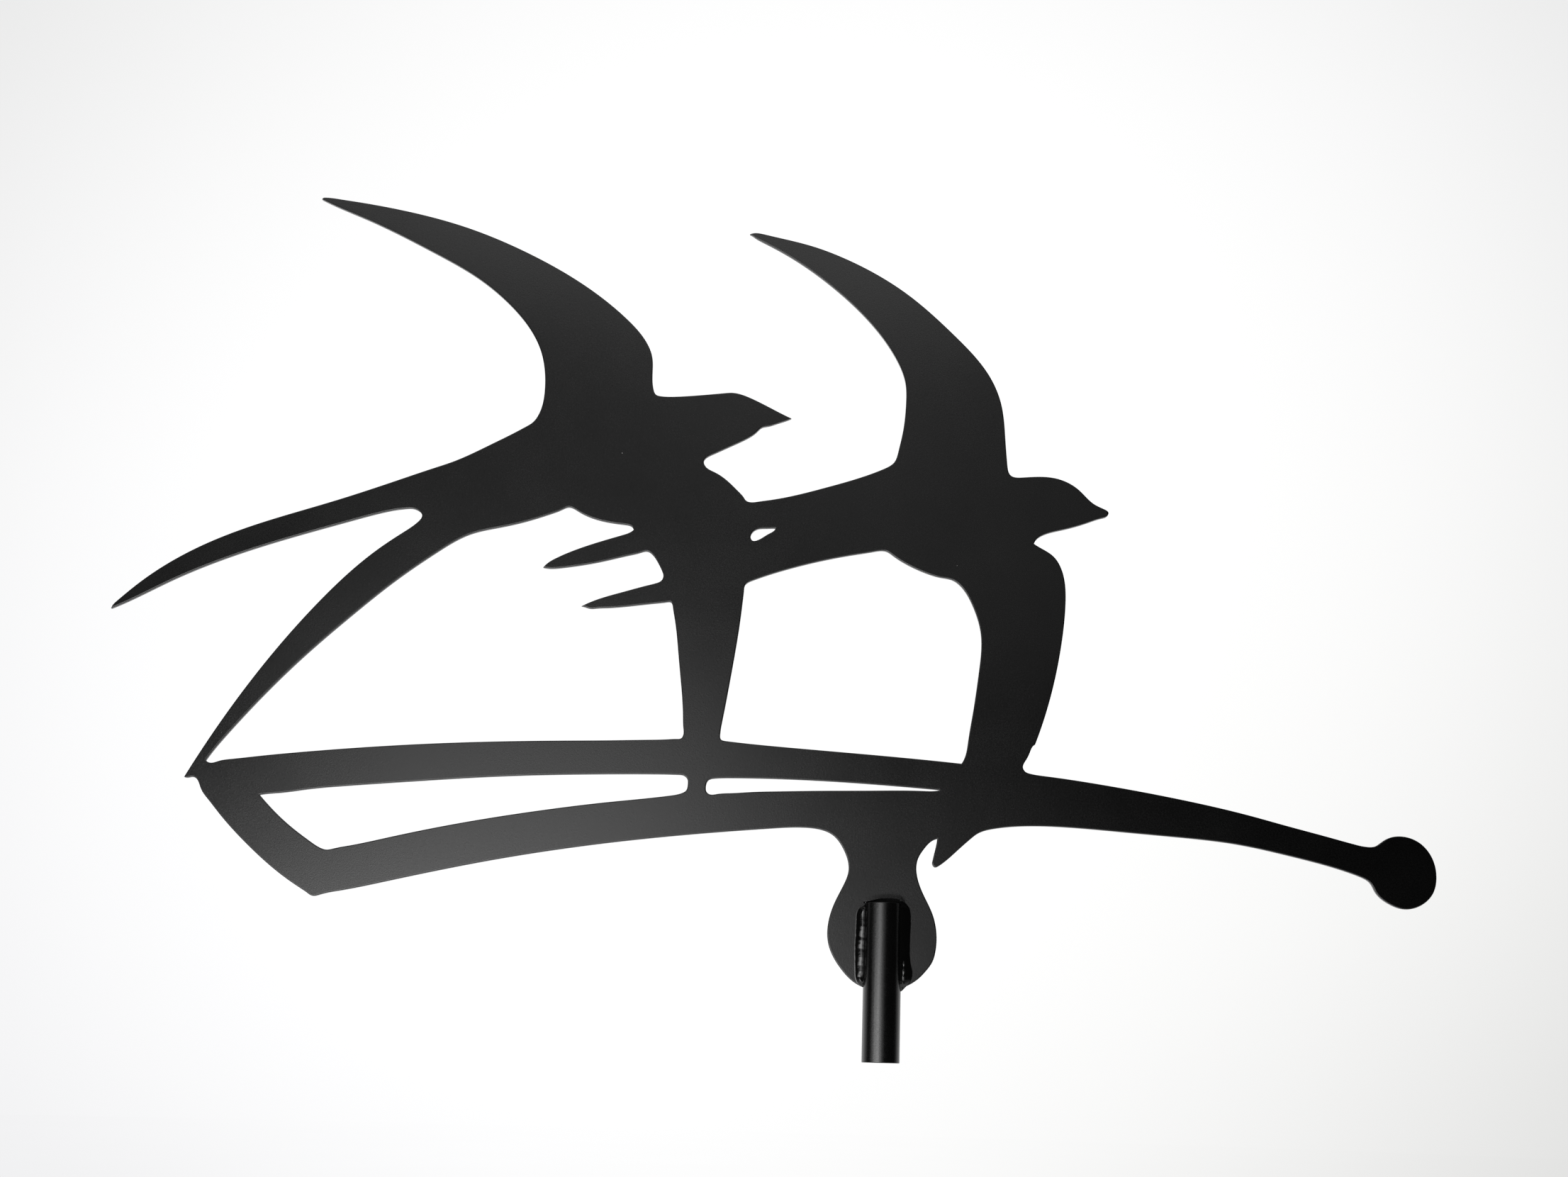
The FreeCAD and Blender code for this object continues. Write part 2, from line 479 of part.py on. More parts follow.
def bearing(which, level):
    keep(turned(which + "_outer_ring", [
        ("outer_land", "seat_deep"),
        ("seat_rad", "seat_deep"),
        ("seat_rad", "0"),
        ("brg_out - brg_edge", "0"),
        ("brg_out", "brg_edge"),
        ("brg_out", "brg_width - brg_edge"),
        ("brg_out - brg_edge", "brg_width"),
        ("seat_rad", "brg_width"),
        ("seat_rad", "brg_width - seat_deep"),
        ("outer_land", "brg_width - seat_deep"),
    ], [("pitch_rad", MID, "race_rad")]), which + "_outer_ring", level)

    keep(turned(which + "_inner_ring", [
        ("brg_bore", "0"), ("inner_land", "0"), ("inner_land", "brg_width"), ("brg_bore", "brg_width"),
    ], [("pitch_rad", MID, "race_rad")]), which + "_inner_ring", level)

    balls = []
    for i in range(BALLS):
        ball = doc.addObject("Part::Sphere", "%s_ball_%d" % (which, i + 1))
        turn = 360.0 * i / BALLS
        ball.setExpression("Radius", bound("ball_rad"))
        ball.setExpression("Placement.Base.x", bound("pitch_rad") + " * cos(%.6f deg)" % turn)
        ball.setExpression("Placement.Base.y", bound("pitch_rad") + " * sin(%.6f deg)" % turn)
        ball.setExpression("Placement.Base.z", bound(MID))
        balls.append(ball)
    ball_set = doc.addObject("Part::Compound", which + "_balls")
    ball_set.Links = balls
    keep(ball_set, which + "_balls", level)

    # crown cage: a ring whose pockets are open downwards, narrower there than a ball
    cage = turned(which + "_ball_cage", [
        ("cage_in", MID + " - cage_low"), ("cage_out", MID + " - cage_low"),
        ("cage_out", MID + " + cage_high"), ("cage_in", MID + " + cage_high"),
    ])
    volume = cage.Tip.Shape.Volume
    pocket = cage.newObject("PartDesign::SubtractiveSphere", which + "_pocket")
    pocket.setExpression("Radius", bound("pocket_rad"))
    pocket.AttachmentOffset = FreeCAD.Placement(FreeCAD.Vector(V["pitch_rad"], 0, number(MID)), FreeCAD.Rotation())
    pocket.AttachmentSupport = [([f for f in cage.Origin.OriginFeatures if f.Role == "XY_Plane"][0], "")]
    pocket.MapMode = "FlatFace"
    pocket.setExpression("AttachmentOffset.Base.x", bound("pitch_rad"))
    pocket.setExpression("AttachmentOffset.Base.z", bound(MID))
    volume = changed(pocket, volume, False, which + "_pocket")
    pockets = cage.newObject("PartDesign::PolarPattern", which + "_pockets")
    pockets.Originals = [pocket]
    pockets.Axis = ([f for f in cage.Origin.OriginFeatures if f.Role == "Z_Axis"][0], [""])
    pockets.Angle = 360.0
    pockets.Occurrences = BALLS
    cage.Tip = pockets
    changed(pockets, volume, False, which + "_pockets")
    keep(cage, which + "_ball_cage", level)

    # shields: thin dished washers pressed into the outer ring, just clear of the inner ring
    keep(turned(which + "_shield_bottom", [
        ("shield_in", "seat_deep - shield_thick - shield_lip"),
        ("shield_bend", "seat_deep - shield_thick - shield_lip"),
        ("shield_bend + shield_lip", "seat_deep - shield_thick"),
        ("seat_rad", "seat_deep - shield_thick"),
        ("seat_rad", "seat_deep"),
        ("shield_bend + shield_lip", "seat_deep"),
        ("shield_bend", "seat_deep - shield_lip"),
        ("shield_in", "seat_deep - shield_lip"),
    ]), which + "_shield_bottom", level)
    keep(turned(which + "_shield_top", [
        ("shield_in", "brg_width - seat_deep + shield_lip"),
        ("shield_bend", "brg_width - seat_deep + shield_lip"),
        ("shield_bend + shield_lip", "brg_width - seat_deep"),
        ("seat_rad", "brg_width - seat_deep"),
        ("seat_rad", "brg_width - seat_deep + shield_thick"),
        ("shield_bend + shield_lip", "brg_width - seat_deep + shield_thick"),
        ("shield_bend", "brg_width - seat_deep + shield_thick + shield_lip"),
        ("shield_in", "brg_width - seat_deep + shield_thick + shield_lip"),
    ]), which + "_shield_top", level)


bearing("lower", "0")
bearing("upper", "high_brg")

# ---------------------------------------------------------------------------------------------------------
# Check every object, then write one file for each sub-part
# ---------------------------------------------------------------------------------------------------------
doc.recompute()
for obj in doc.Objects:
    if "Invalid" in obj.State or "Error" in obj.State:
        raise RuntimeError("%s failed: %s" % (obj.Label, obj.State))
labels = [obj.Label for obj in KEPT]
if len(set(labels)) != len(labels):
    raise RuntimeError("two sub-parts share a name")
for obj in KEPT:
    if obj.Shape.isNull() or not obj.Shape.isValid():
        raise RuntimeError(obj.Label + " has no valid shape")
    box = obj.Shape.BoundBox
    print("%-22s solids %d  volume %10.2f  x %8.2f %8.2f  y %6.2f %6.2f  z %7.2f %7.2f" % (
        obj.Label, len(obj.Shape.Solids), obj.Shape.Volume, box.XMin, box.XMax, box.YMin, box.YMax, box.ZMin, box.ZMax))

os.makedirs("parts", exist_ok=True)
for obj in KEPT:
    obj.Shape.exportStep("parts/%s.step" % obj.Label)
print(len(KEPT), "sub-parts written")
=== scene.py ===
import math

import bpy
import numpy as np
from mathutils import Matrix, Vector
from mathutils.bvhtree import BVHTree
from mathutils.geometry import delaunay_2d_cdt
from mathutils.kdtree import KDTree


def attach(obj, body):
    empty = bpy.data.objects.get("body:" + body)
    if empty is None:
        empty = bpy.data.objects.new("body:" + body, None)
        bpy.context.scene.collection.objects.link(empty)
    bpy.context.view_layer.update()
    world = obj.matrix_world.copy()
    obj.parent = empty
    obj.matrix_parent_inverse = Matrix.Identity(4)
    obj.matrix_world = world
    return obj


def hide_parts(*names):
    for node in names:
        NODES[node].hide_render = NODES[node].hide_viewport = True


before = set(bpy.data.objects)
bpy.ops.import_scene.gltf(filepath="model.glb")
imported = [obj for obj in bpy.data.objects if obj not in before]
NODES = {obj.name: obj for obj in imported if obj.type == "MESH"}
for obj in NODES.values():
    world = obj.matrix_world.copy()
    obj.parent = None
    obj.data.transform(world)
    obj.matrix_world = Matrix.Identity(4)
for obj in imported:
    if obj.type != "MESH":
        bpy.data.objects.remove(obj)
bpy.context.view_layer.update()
MM = 0.001


# Outline of the sheet, as points on smooth curves between its corners, in millimetres
OUTLINE = [
    # outer outline
    [
     [(-376.92, 132.65), (-374.56, 132.47), (-372.35, 132.83), (-370.75, 132.33), (-367.47, 126.89), (-362.97, 120.93),
      (-356.00, 113.09), (-339.93, 97.37), (-316.32, 79.05), (-308.26, 74.14), (-306.15, 72.82), (-303.83, 71.42),
      (-298.72, 72.22), (-289.73, 74.29), (-264.63, 80.01), (-210.30, 92.52), (-112.85, 108.26), (-59.40, 113.86),
      (-42.18, 114.71), (-27.07, 110.71), (-21.89, 104.04), (-18.86, 92.20), (-20.90, 85.79), (-26.15, 74.74),
      (-28.69, 53.61), (-22.04, 41.17), (-13.70, 33.41), (1.46, 30.12), (19.37, 36.94), (23.11, 40.92), (26.24, 45.34),
      (28.06, 51.53), (26.22, 70.66), (20.37, 82.78), (18.04, 99.49), (21.42, 105.27), (26.26, 109.93), (28.18, 110.59)],
     [(28.18, 110.59), (27.69, 107.21), (26.52, 102.12), (25.82, 98.94), (25.70, 96.96), (27.19, 95.44), (28.78, 95.97),
      (30.85, 97.38), (40.52, 106.05), (46.25, 111.25), (49.37, 113.75), (58.50, 116.87), (73.88, 118.65), (96.36, 118.74),
      (130.54, 116.75), (159.47, 114.86), (186.35, 112.35), (217.03, 106.55), (248.96, 98.32), (254.12, 96.44),
      (258.58, 93.73), (261.36, 88.78), (263.22, 86.45), (268.07, 82.95), (276.81, 80.22), (291.68, 88.72),
      (293.92, 97.03), (292.53, 106.59), (285.69, 115.63), (278.11, 118.65), (268.78, 117.56), (264.79, 115.03),
      (261.87, 113.16), (258.21, 112.72), (250.58, 114.01), (237.02, 117.41), (213.99, 123.05), (196.57, 127.44),
      (159.41, 135.17), (110.07, 143.00), (87.01, 145.78), (78.11, 146.94), (74.72, 148.42), (73.85, 150.29),
      (75.45, 154.19), (77.70, 158.89), (78.70, 161.21), (80.38, 162.89)],
     [(80.38, 162.89), (87.03, 182.91), (95.05, 221.40), (96.89, 242.28), (94.68, 260.25), (90.27, 267.44),
      (84.09, 271.58), (79.47, 274.36)],
     [(79.47, 274.36), (80.90, 276.88), (85.23, 279.78), (94.57, 282.60), (109.08, 287.17), (114.67, 289.29),
      (117.55, 290.14), (119.61, 291.01), (120.70, 292.89), (117.58, 295.39), (112.06, 298.24), (103.95, 306.00),
      (92.93, 311.67), (74.04, 312.12), (66.49, 313.03), (64.57, 319.56), (63.42, 334.24), (61.18, 353.57),
      (55.01, 369.28), (34.77, 393.55), (8.12, 417.25), (-27.71, 437.88), (-45.67, 444.63), (-73.37, 451.18),
      (-80.31, 451.94), (-82.55, 451.27)],
     [(-82.55, 451.27), (-81.24, 450.67), (-79.61, 449.51), (-74.84, 446.81), (-66.63, 442.57), (-55.43, 436.00),
      (-33.89, 420.22), (-11.01, 397.92), (2.03, 379.05), (7.26, 365.36), (7.84, 353.65), (6.43, 337.23), (3.96, 325.00),
      (1.68, 318.68), (-4.00, 314.78), (-12.01, 311.30), (-35.43, 303.34), (-65.62, 295.39), (-73.24, 294.08),
      (-78.21, 293.81), (-79.55, 294.36), (-81.39, 296.70), (-83.41, 298.91), (-92.43, 307.13), (-97.75, 310.34),
      (-103.23, 313.96), (-103.88, 316.78), (-102.81, 318.35), (-98.99, 320.72), (-89.27, 325.61), (-81.29, 329.73),
      (-77.49, 332.12), (-75.04, 334.24), (-72.19, 336.93), (-69.04, 337.75), (-63.84, 339.48), (-57.99, 341.65),
      (-55.99, 342.60)],
     [(-55.99, 342.60), (-69.05, 349.01), (-79.42, 353.95), (-89.98, 356.64), (-93.71, 356.31), (-102.15, 355.30),
      (-121.53, 353.44), (-129.01, 353.48), (-132.08, 354.38), (-133.66, 357.64), (-134.55, 365.56), (-135.29, 377.26),
      (-137.45, 382.82), (-150.39, 398.59), (-175.57, 418.21), (-208.28, 436.44), (-246.30, 451.61), (-278.74, 459.77),
      (-307.56, 464.66), (-316.72, 465.91), (-323.17, 466.67), (-325.41, 466.76), (-326.86, 466.63), (-327.61, 465.72)],
     [(-327.61, 465.72), (-320.23, 462.22), (-301.30, 454.39), (-262.12, 435.55), (-236.43, 421.09), (-216.46, 404.92),
      (-203.65, 389.62), (-198.36, 379.46), (-194.47, 355.69), (-196.91, 341.50), (-200.43, 336.10), (-203.91, 333.68),
      (-209.90, 330.07), (-221.46, 323.61), (-243.44, 312.29), (-254.17, 308.18), (-267.47, 303.08), (-306.52, 288.39),
      (-353.45, 271.98), (-382.44, 258.56), (-410.03, 239.63), (-422.10, 228.44), (-424.51, 225.57), (-425.08, 223.99)],
     [(-425.08, 223.99), (-414.07, 229.37), (-394.78, 239.95), (-341.48, 262.66), (-296.81, 277.27), (-280.38, 282.24),
      (-271.94, 284.15), (-267.51, 284.77), (-263.07, 284.71), (-258.42, 281.12), (-261.19, 276.67), (-267.68, 271.58),
      (-279.54, 262.83), (-310.81, 231.97), (-358.53, 165.43), (-376.92, 132.65)],
    ],
    # opening behind the left bird's post
    [
     [(-141.25, 276.17), (-142.53, 275.06), (-147.10, 273.06), (-166.48, 266.42), (-182.89, 259.13), (-187.51, 256.17),
      (-190.02, 253.44)],
     [(-190.02, 253.44), (-187.06, 253.05), (-179.36, 253.66), (-158.29, 257.68), (-142.35, 261.87), (-137.31, 263.26),
      (-133.19, 264.15), (-130.12, 262.19), (-126.59, 257.06), (-124.46, 252.83), (-123.84, 250.43), (-124.91, 247.81),
      (-127.29, 246.49), (-131.36, 245.28), (-145.70, 240.92), (-161.07, 235.70), (-167.94, 232.30)],
     [(-167.94, 232.30), (-166.81, 232.12), (-163.00, 231.16), (-159.76, 231.39), (-153.35, 231.86), (-141.77, 233.11),
      (-125.94, 235.27), (-121.73, 235.86), (-119.14, 235.90), (-117.87, 232.79), (-116.45, 225.44), (-113.51, 203.90),
      (-110.13, 173.09), (-109.67, 166.62), (-109.63, 162.63), (-110.57, 161.04), (-112.98, 160.61), (-116.97, 160.34),
      (-129.19, 159.67), (-148.41, 158.87), (-175.64, 157.95), (-251.50, 153.94), (-312.20, 148.21), (-336.51, 145.25),
      (-353.09, 142.99), (-358.46, 141.99), (-362.73, 140.75), (-366.11, 141.96)],
     [(-366.11, 141.96), (-363.74, 145.70), (-355.57, 156.73), (-319.58, 198.23), (-292.47, 224.46), (-269.07, 245.14),
      (-248.40, 260.88), (-231.32, 271.18), (-216.21, 275.33), (-203.15, 278.64), (-187.10, 284.16), (-181.60, 286.52),
      (-177.91, 288.05), (-172.01, 285.67), (-161.16, 281.28), (-146.69, 279.03), (-142.17, 277.75), (-141.25, 276.17)],
    ],
    # wide slot in the arrow's tail
    [
     [(-335.53, 124.11), (-332.86, 124.62), (-324.54, 125.55), (-310.98, 127.69), (-291.13, 130.10), (-251.82, 133.86),
      (-208.98, 137.52), (-156.56, 140.22), (-126.08, 141.12), (-117.15, 141.23), (-111.69, 141.21), (-108.25, 140.71),
      (-106.41, 138.87), (-106.12, 136.18), (-106.88, 132.85), (-109.11, 131.38), (-115.65, 129.81), (-126.78, 128.21),
      (-147.60, 125.57), (-180.45, 120.68), (-241.51, 108.95), (-266.77, 102.89), (-285.72, 98.38), (-293.28, 96.74),
      (-297.95, 95.94), (-300.34, 96.57), (-306.85, 100.24), (-318.29, 108.26), (-328.52, 117.04), (-335.53, 124.11)],
    ],
    # opening between the two posts
    [
     [(40.72, 151.43), (20.32, 153.03), (-41.52, 156.92), (-62.97, 158.26), (-75.18, 159.15), (-83.87, 159.91),
      (-87.36, 160.30), (-88.95, 160.80), (-89.59, 163.76), (-88.67, 171.13), (-84.61, 197.50), (-80.56, 228.93),
      (-79.56, 240.06), (-79.29, 243.78), (-78.96, 246.25), (-74.35, 249.58), (-58.89, 255.25), (-19.72, 265.37),
      (-9.17, 267.39), (-1.50, 267.76), (2.24, 265.36), (6.39, 262.63), (20.57, 256.06), (28.48, 253.90), (35.06, 252.55),
      (39.78, 248.94), (46.07, 238.50), (50.54, 223.76), (49.83, 202.34), (46.67, 179.06), (44.27, 163.76),
      (42.64, 155.17), (40.72, 151.43)],
    ],
    # narrow slot in the arrow's shaft
    [
     [(29.45, 136.84), (27.40, 136.38), (20.66, 136.13), (-6.83, 135.56), (-35.55, 134.67), (-57.28, 133.77),
      (-72.25, 132.96), (-83.21, 132.05), (-90.16, 131.42), (-94.37, 131.22), (-95.69, 132.17), (-96.33, 135.04),
      (-95.14, 138.62), (-91.40, 139.76), (-82.17, 140.22), (-67.17, 140.42), (-6.23, 138.90), (29.45, 136.84)],
    ],
    # small opening between the birds
    [
     [(-62.99, 279.16), (-63.55, 278.15), (-66.83, 275.87), (-69.94, 273.79), (-73.21, 271.99), (-75.59, 271.87),
      (-76.56, 273.36), (-73.97, 277.97), (-68.10, 279.00), (-64.60, 279.21), (-62.99, 279.16)],
    ],
]


# ---------------------------------------------------------------------------------------------------------
# Small helpers
# ---------------------------------------------------------------------------------------------------------
def make_object(name, verts, faces, smooth=True):
    """A mesh object from points in millimetres."""
    mesh = bpy.data.meshes.new(name)
    mesh.from_pydata((np.asarray(verts, float) * MM).tolist(), [], faces)
    mesh.validate(clean_customdata=False)
    mesh.polygons.foreach_set("use_smooth", [smooth] * len(mesh.polygons))
    mesh.update()
    obj = bpy.data.objects.new(name, mesh)
    bpy.context.scene.collection.objects.link(obj)
    return obj


def cubic(points, step):
    """Points about `step` apart on the smooth curve through the given points, ends included."""
    p = np.array(points, float)
    if len(p) == 2:
        n = max(1, int(round(np.hypot(*(p[1] - p[0])) / step)))
        return p[0] + (p[1] - p[0]) * np.linspace(0, 1, n + 1)[:, None]
    t = np.r_[0, np.cumsum(np.hypot(*np.diff(p, axis=0).T))]
    n, gap = len(t), np.diff(t)
    a, b = np.zeros((n, n)), np.zeros((n, 2))
    for i in range(1, n - 1):
        a[i, i - 1:i + 2] = gap[i - 1], 2 * (gap[i - 1] + gap[i]), gap[i]
        b[i] = 6 * ((p[i + 1] - p[i]) / gap[i] - (p[i] - p[i - 1]) / gap[i - 1])
    if n > 3:
        a[0, :3] = gap[1], -(gap[0] + gap[1]), gap[0]
        a[-1, -3:] = gap[-1], -(gap[-2] + gap[-1]), gap[-2]
    else:
        a[0, 0] = a[-1, -1] = 1
    m = np.linalg.solve(a, b)
    u = np.linspace(0, t[-1], max(8, int(t[-1] / 0.1)))
    k = np.clip(np.searchsorted(t, u, side="right") - 1, 0, n - 2)
    g, lo, hi = gap[k][:, None], (t[k + 1] - u)[:, None], (u - t[k])[:, None]
    c = (m[k] * lo ** 3 + m[k + 1] * hi ** 3) / (6 * g) + (p[k] / g - m[k] * g / 6) * lo + (p[k + 1] / g - m[k + 1] * g / 6) * hi
    run = np.r_[0, np.cumsum(np.hypot(*np.diff(c, axis=0).T))]
    n = max(2, int(round(run[-1] / step)))
    at = np.linspace(0, run[-1], n + 1)
    out = np.c_[np.interp(at, run, c[:, 0]), np.interp(at, run, c[:, 1])]
    out[0], out[-1] = p[0], p[-1]
    return out


TABLES = {}


def smooth_noise(x, seed, period):
    """Repeatable soft noise along a line, from -1 to 1, with bumps about `period` long."""
    if seed not in TABLES:
        TABLES[seed] = np.random.default_rng(seed).uniform(-1, 1, 4096)
    table = TABLES[seed]
    q = np.asarray(x, float) / period + 512.0
    i = np.floor(q).astype(int)
    f = q - i
    f = f * f * (3 - 2 * f)
    return table[i % 4096] * (1 - f) + table[(i + 1) % 4096] * f


# ---------------------------------------------------------------------------------------------------------
# Silhouette plate: the cut sheet with its coated, rounded edges
# ---------------------------------------------------------------------------------------------------------
HALF = 1.5            # half the plate's thickness
EDGE = 0.62           # radius of the edges under the coat
STEP = 0.8            # spacing of points along the outline
TUBE_R, TUBE_LOW, TUBE_HIGH = 10.0, -7.0, 75.75
NOTCH_X, NOTCH_Z = 9.9, 75.95


def plate_loops():
    loops = []
    for loop in OUTLINE:
        loops.append(np.concatenate([cubic(edge, STEP)[:-1] for edge in loop]))
    outer = loops[0]
    inside = (np.abs(outer[:, 0]) < NOTCH_X) & (outer[:, 1] < 60)
    first = int(np.nonzero(inside & ~np.roll(inside, 1))[0][0])
    outer = np.roll(outer, -first, axis=0)
    inside = (np.abs(outer[:, 0]) < NOTCH_X) & (outer[:, 1] < 60)
    count = int(np.argmin(inside))
    before, after = outer[-1], outer[count]

    def cross(a, b, x):
        f = (x - a[0]) / (b[0] - a[0])
        return [x, a[1] + f * (b[1] - a[1])]

    left, right = cross(before, outer[0], -NOTCH_X), cross(outer[count - 1], after, NOTCH_X)
    corners = [left, [-NOTCH_X, NOTCH_Z - 0.4], [-NOTCH_X + 0.4, NOTCH_Z], [NOTCH_X - 0.4, NOTCH_Z], [NOTCH_X, NOTCH_Z - 0.4], right]
    notch = np.concatenate([cubic([corners[i], corners[i + 1]], STEP)[:-1] for i in range(5)] + [np.array([right])])
    rest = outer[count:]
    keep = np.hypot(*(rest - notch[-1]).T) > 0.15
    keep &= np.hypot(*(rest - notch[0]).T) > 0.15
    loops[0] = np.concatenate([notch, rest[keep]])
    return loops


def crease(x):
    """Level of the crease above the tube's end, where the drawn front face starts to fall."""
    return NOTCH_Z + np.interp(x, [-10.6, -9.5, -8.0, -6.5, -4.5, -2.5, -1.0, 2.0, 5.5, 7.5, 9.0, 9.8, 10.8, 11.6],
                               [0.0, 0.35, 0.65, 1.05, 1.6, 2.1, 2.4, 2.6, 2.6, 2.4, 2.0, 1.5, 0.8, 0.0])


def built_up(x, z):
    """How far the front face stands out above the tube's end: the heat of the welds has raised a low ridge there,
    and behind it the face is drawn in towards the tube."""
    x, z = np.asarray(x, float), np.asarray(z, float)
    top = crease(x)
    reach = np.maximum(top - NOTCH_Z, 0.0)
    ridge = 0.19 * np.clip(reach / 1.6, 0, 1)
    outside = ridge * np.clip(1 - (z - top) / 2.7, 0, 1) ** 2
    depth = 0.86 * np.clip(reach / 0.9, 0, 1)
    inside = ridge - (depth + ridge) * np.clip((top - z) / np.maximum(reach, 0.05), 0, 1)
    return np.where(z < top, np.where(z < NOTCH_Z - 0.25, 0.0, inside), outside)


def build_plate():
    loops = [np.clip(q, (-425.08, 0.0), (293.95, 466.76)) for q in plate_loops()]
    verts, edges, walls = [], [], []
    inner, nearby = [], []
    depth = [EDGE * (1 - math.cos(math.radians(a))) for a in (24, 46, 68, 90)] + [EDGE + 0.25]
    for loop in loops:
        n, start = len(loop), len(verts)
        ahead = np.roll(loop, -1, axis=0) - loop
        ahead /= np.maximum(np.hypot(*ahead.T), 1e-9)[:, None]
        # the material lies on the left of every loop
        inward = np.c_[-ahead[:, 1], ahead[:, 0]]
        prev = np.roll(inward, 1, axis=0)
        turn = prev[:, 0] * inward[:, 1] - prev[:, 1] * inward[:, 0]
        both = prev + inward
        both /= np.maximum(np.hypot(*both.T), 1e-9)[:, None]
        verts += [tuple(q) for q in loop]
        edges += [(start + i, start + (i + 1) % n) for i in range(n)]
        for d in depth:
            inner.append(np.c_[loop + both * d, np.full(n, d)])
            sharp = np.nonzero(turn < -0.35)[0]       # inner corners: a fan of points round them
            for k in sharp:
                for f in (0.2, 0.8):
                    v = prev[k] * (1 - f) + inward[k] * f
                    v /= max(np.hypot(*v), 1e-9)
                    inner.append(np.array([[*(loop[k] + v * d), d]]))
    for x in np.concatenate([np.arange(-12.6, -11.0, 0.45), np.arange(-11.0, -6.0, 0.16), np.arange(-6.0, 8.4, 0.4), np.arange(8.4, 11.8, 0.14), [12.2, 12.6]]):
        top = float(crease(x))
        ladder = [top - 0.05, top + 0.05] if top > NOTCH_Z + 0.3 else []
        ladder += [top + 0.05 + 0.45 * k for k in range(1, 9)] + [top - 0.05 - 0.4 * k for k in range(1, 6)]
        inner.append(np.array([(x, z, 0.08) for z in ladder if z > NOTCH_Z + 0.1]))
    # exact distance to the outline, through a thin wall that stands on it
    wall_v = [Vector((x, y, s)) for s in (-1, 1) for x, y in verts]
    n = len(verts)
    wall_f = [(a, b, b + n, a + n) for a, b in edges]
    wall = BVHTree.FromPolygons(wall_v, wall_f)

    def foot(x, y):
        hit = wall.find_nearest(Vector((x, y, 0)))
        return hit[0].x, hit[0].y, hit[3]

    inner = np.concatenate(inner)
    good = [i for i, (x, y, d) in enumerate(inner) if foot(x, y)[2] > d - 0.012]
    inner = inner[good][:, :2]
    every = verts + [tuple(q) for q in inner]
    out_v, _, out_f, _, _, _ = delaunay_2d_cdt([Vector(q) for q in every], edges, [], 0, 1e-5, False)
    flat = np.array([(v.x, v.y) for v in out_v])
    tris = np.array([tuple(f) for f in out_f])
    # keep the triangles whose middle has an odd number of outline edges to its right
    middle = flat[tris].mean(axis=1)
    order = np.argsort(middle[:, 1])
    levels = middle[order, 1]
    crossed = np.zeros(len(tris), int)
    for i, j in edges:
        (x0, z0), (x1, z1) = verts[i], verts[j]
        if z0 == z1:
            continue
        k = order[np.searchsorted(levels, min(z0, z1), "right"):np.searchsorted(levels, max(z0, z1), "right")]
        crossed[k] += middle[k, 0] < x0 + (x1 - x0) * (middle[k, 1] - z0) / (z1 - z0)
    tris = [tuple(int(k) for k in f) for f in tris[crossed % 2 == 1]]

    used = np.zeros(len(flat), bool)
    for f in tris:
        for k in f:
            used[k] = True
    near = np.array([foot(x, y) for x, y in flat])
    dist = near[:, 2]
    area = sum((flat[f[1]][0] - flat[f[0]][0]) * (flat[f[2]][1] - flat[f[0]][1]) - (flat[f[2]][0] - flat[f[0]][0]) * (flat[f[1]][1] - flat[f[0]][1]) for f in tris[:200])
    if area < 0:
        tris = [tuple(reversed(f)) for f in tris]

    # edges that only one triangle has are the rim
    rim = {}
    for f in tris:
        for i in range(len(f)):
            a, b = f[i], f[(i + 1) % len(f)]
            if (b, a) in rim:
                del rim[(b, a)]
            else:
                rim[(a, b)] = True
    outward = np.zeros_like(flat)
    for a, b in rim:
        d = flat[b] - flat[a]
        out = np.array([d[1], -d[0]])
        out /= max(np.hypot(*out), 1e-12)
        outward[a] += out
        outward[b] += out
    on_rim = np.zeros(len(flat), bool)
    for a, b in rim:
        on_rim[a] = on_rim[b] = True
    size = np.maximum(np.hypot(*outward.T), 1e-9)[:, None]
    outward = np.where(on_rim[:, None], outward / size, (near[:, :2] - flat) / np.maximum(dist, 1e-6)[:, None])
    dist = np.where(on_rim, 0.0, dist)
    inset = np.clip(dist, 0, EDGE)
    rise = np.sqrt(np.maximum(EDGE ** 2 - (EDGE - inset) ** 2, 0))
    level = HALF - EDGE + rise                       # distance of the surface from the middle plane
    cos_a, sin_a = (EDGE - inset) / EDGE, rise / EDGE

    index = np.full(len(flat), -1)
    index[used] = np.arange(used.sum())
    flat, level, outward, cos_a, sin_a = flat[used], level[used], outward[used], cos_a[used], sin_a[used]
    m = len(flat)
    fx, fz = flat.T
    lean = np.c_[built_up(fx - 0.02, fz) - built_up(fx + 0.02, fz), built_up(fx, fz - 0.02) - built_up(fx, fz + 0.02)] / 0.04
    lean *= (fz > NOTCH_Z - 1.0)[:, None]
    front = np.c_[fx, -level - built_up(fx, fz) * (fz > NOTCH_Z - 1.0), fz]
    back = np.c_[flat[:, 0], level, flat[:, 1]]
    normals = np.concatenate([
        np.c_[outward[:, 0] * cos_a + lean[:, 0] * sin_a, -sin_a, outward[:, 1] * cos_a + lean[:, 1] * sin_a],
        np.c_[outward[:, 0] * cos_a, sin_a, outward[:, 1] * cos_a]])
    faces = []
    for f in tris:
        g = [int(index[k]) for k in f]
        faces.append(tuple(g))
        faces.append(tuple(m + k for k in reversed(g)))
    for a, b in rim:
        a, b = int(index[a]), int(index[b])
        faces.append((b, a, m + a, m + b))
    obj = make_object("vane_plate", np.concatenate([front, back]), faces)
    normals /= np.linalg.norm(normals, axis=1)[:, None]
    obj.data.normals_split_custom_set_from_vertices([tuple(v) for v in normals.tolist()])
    return obj


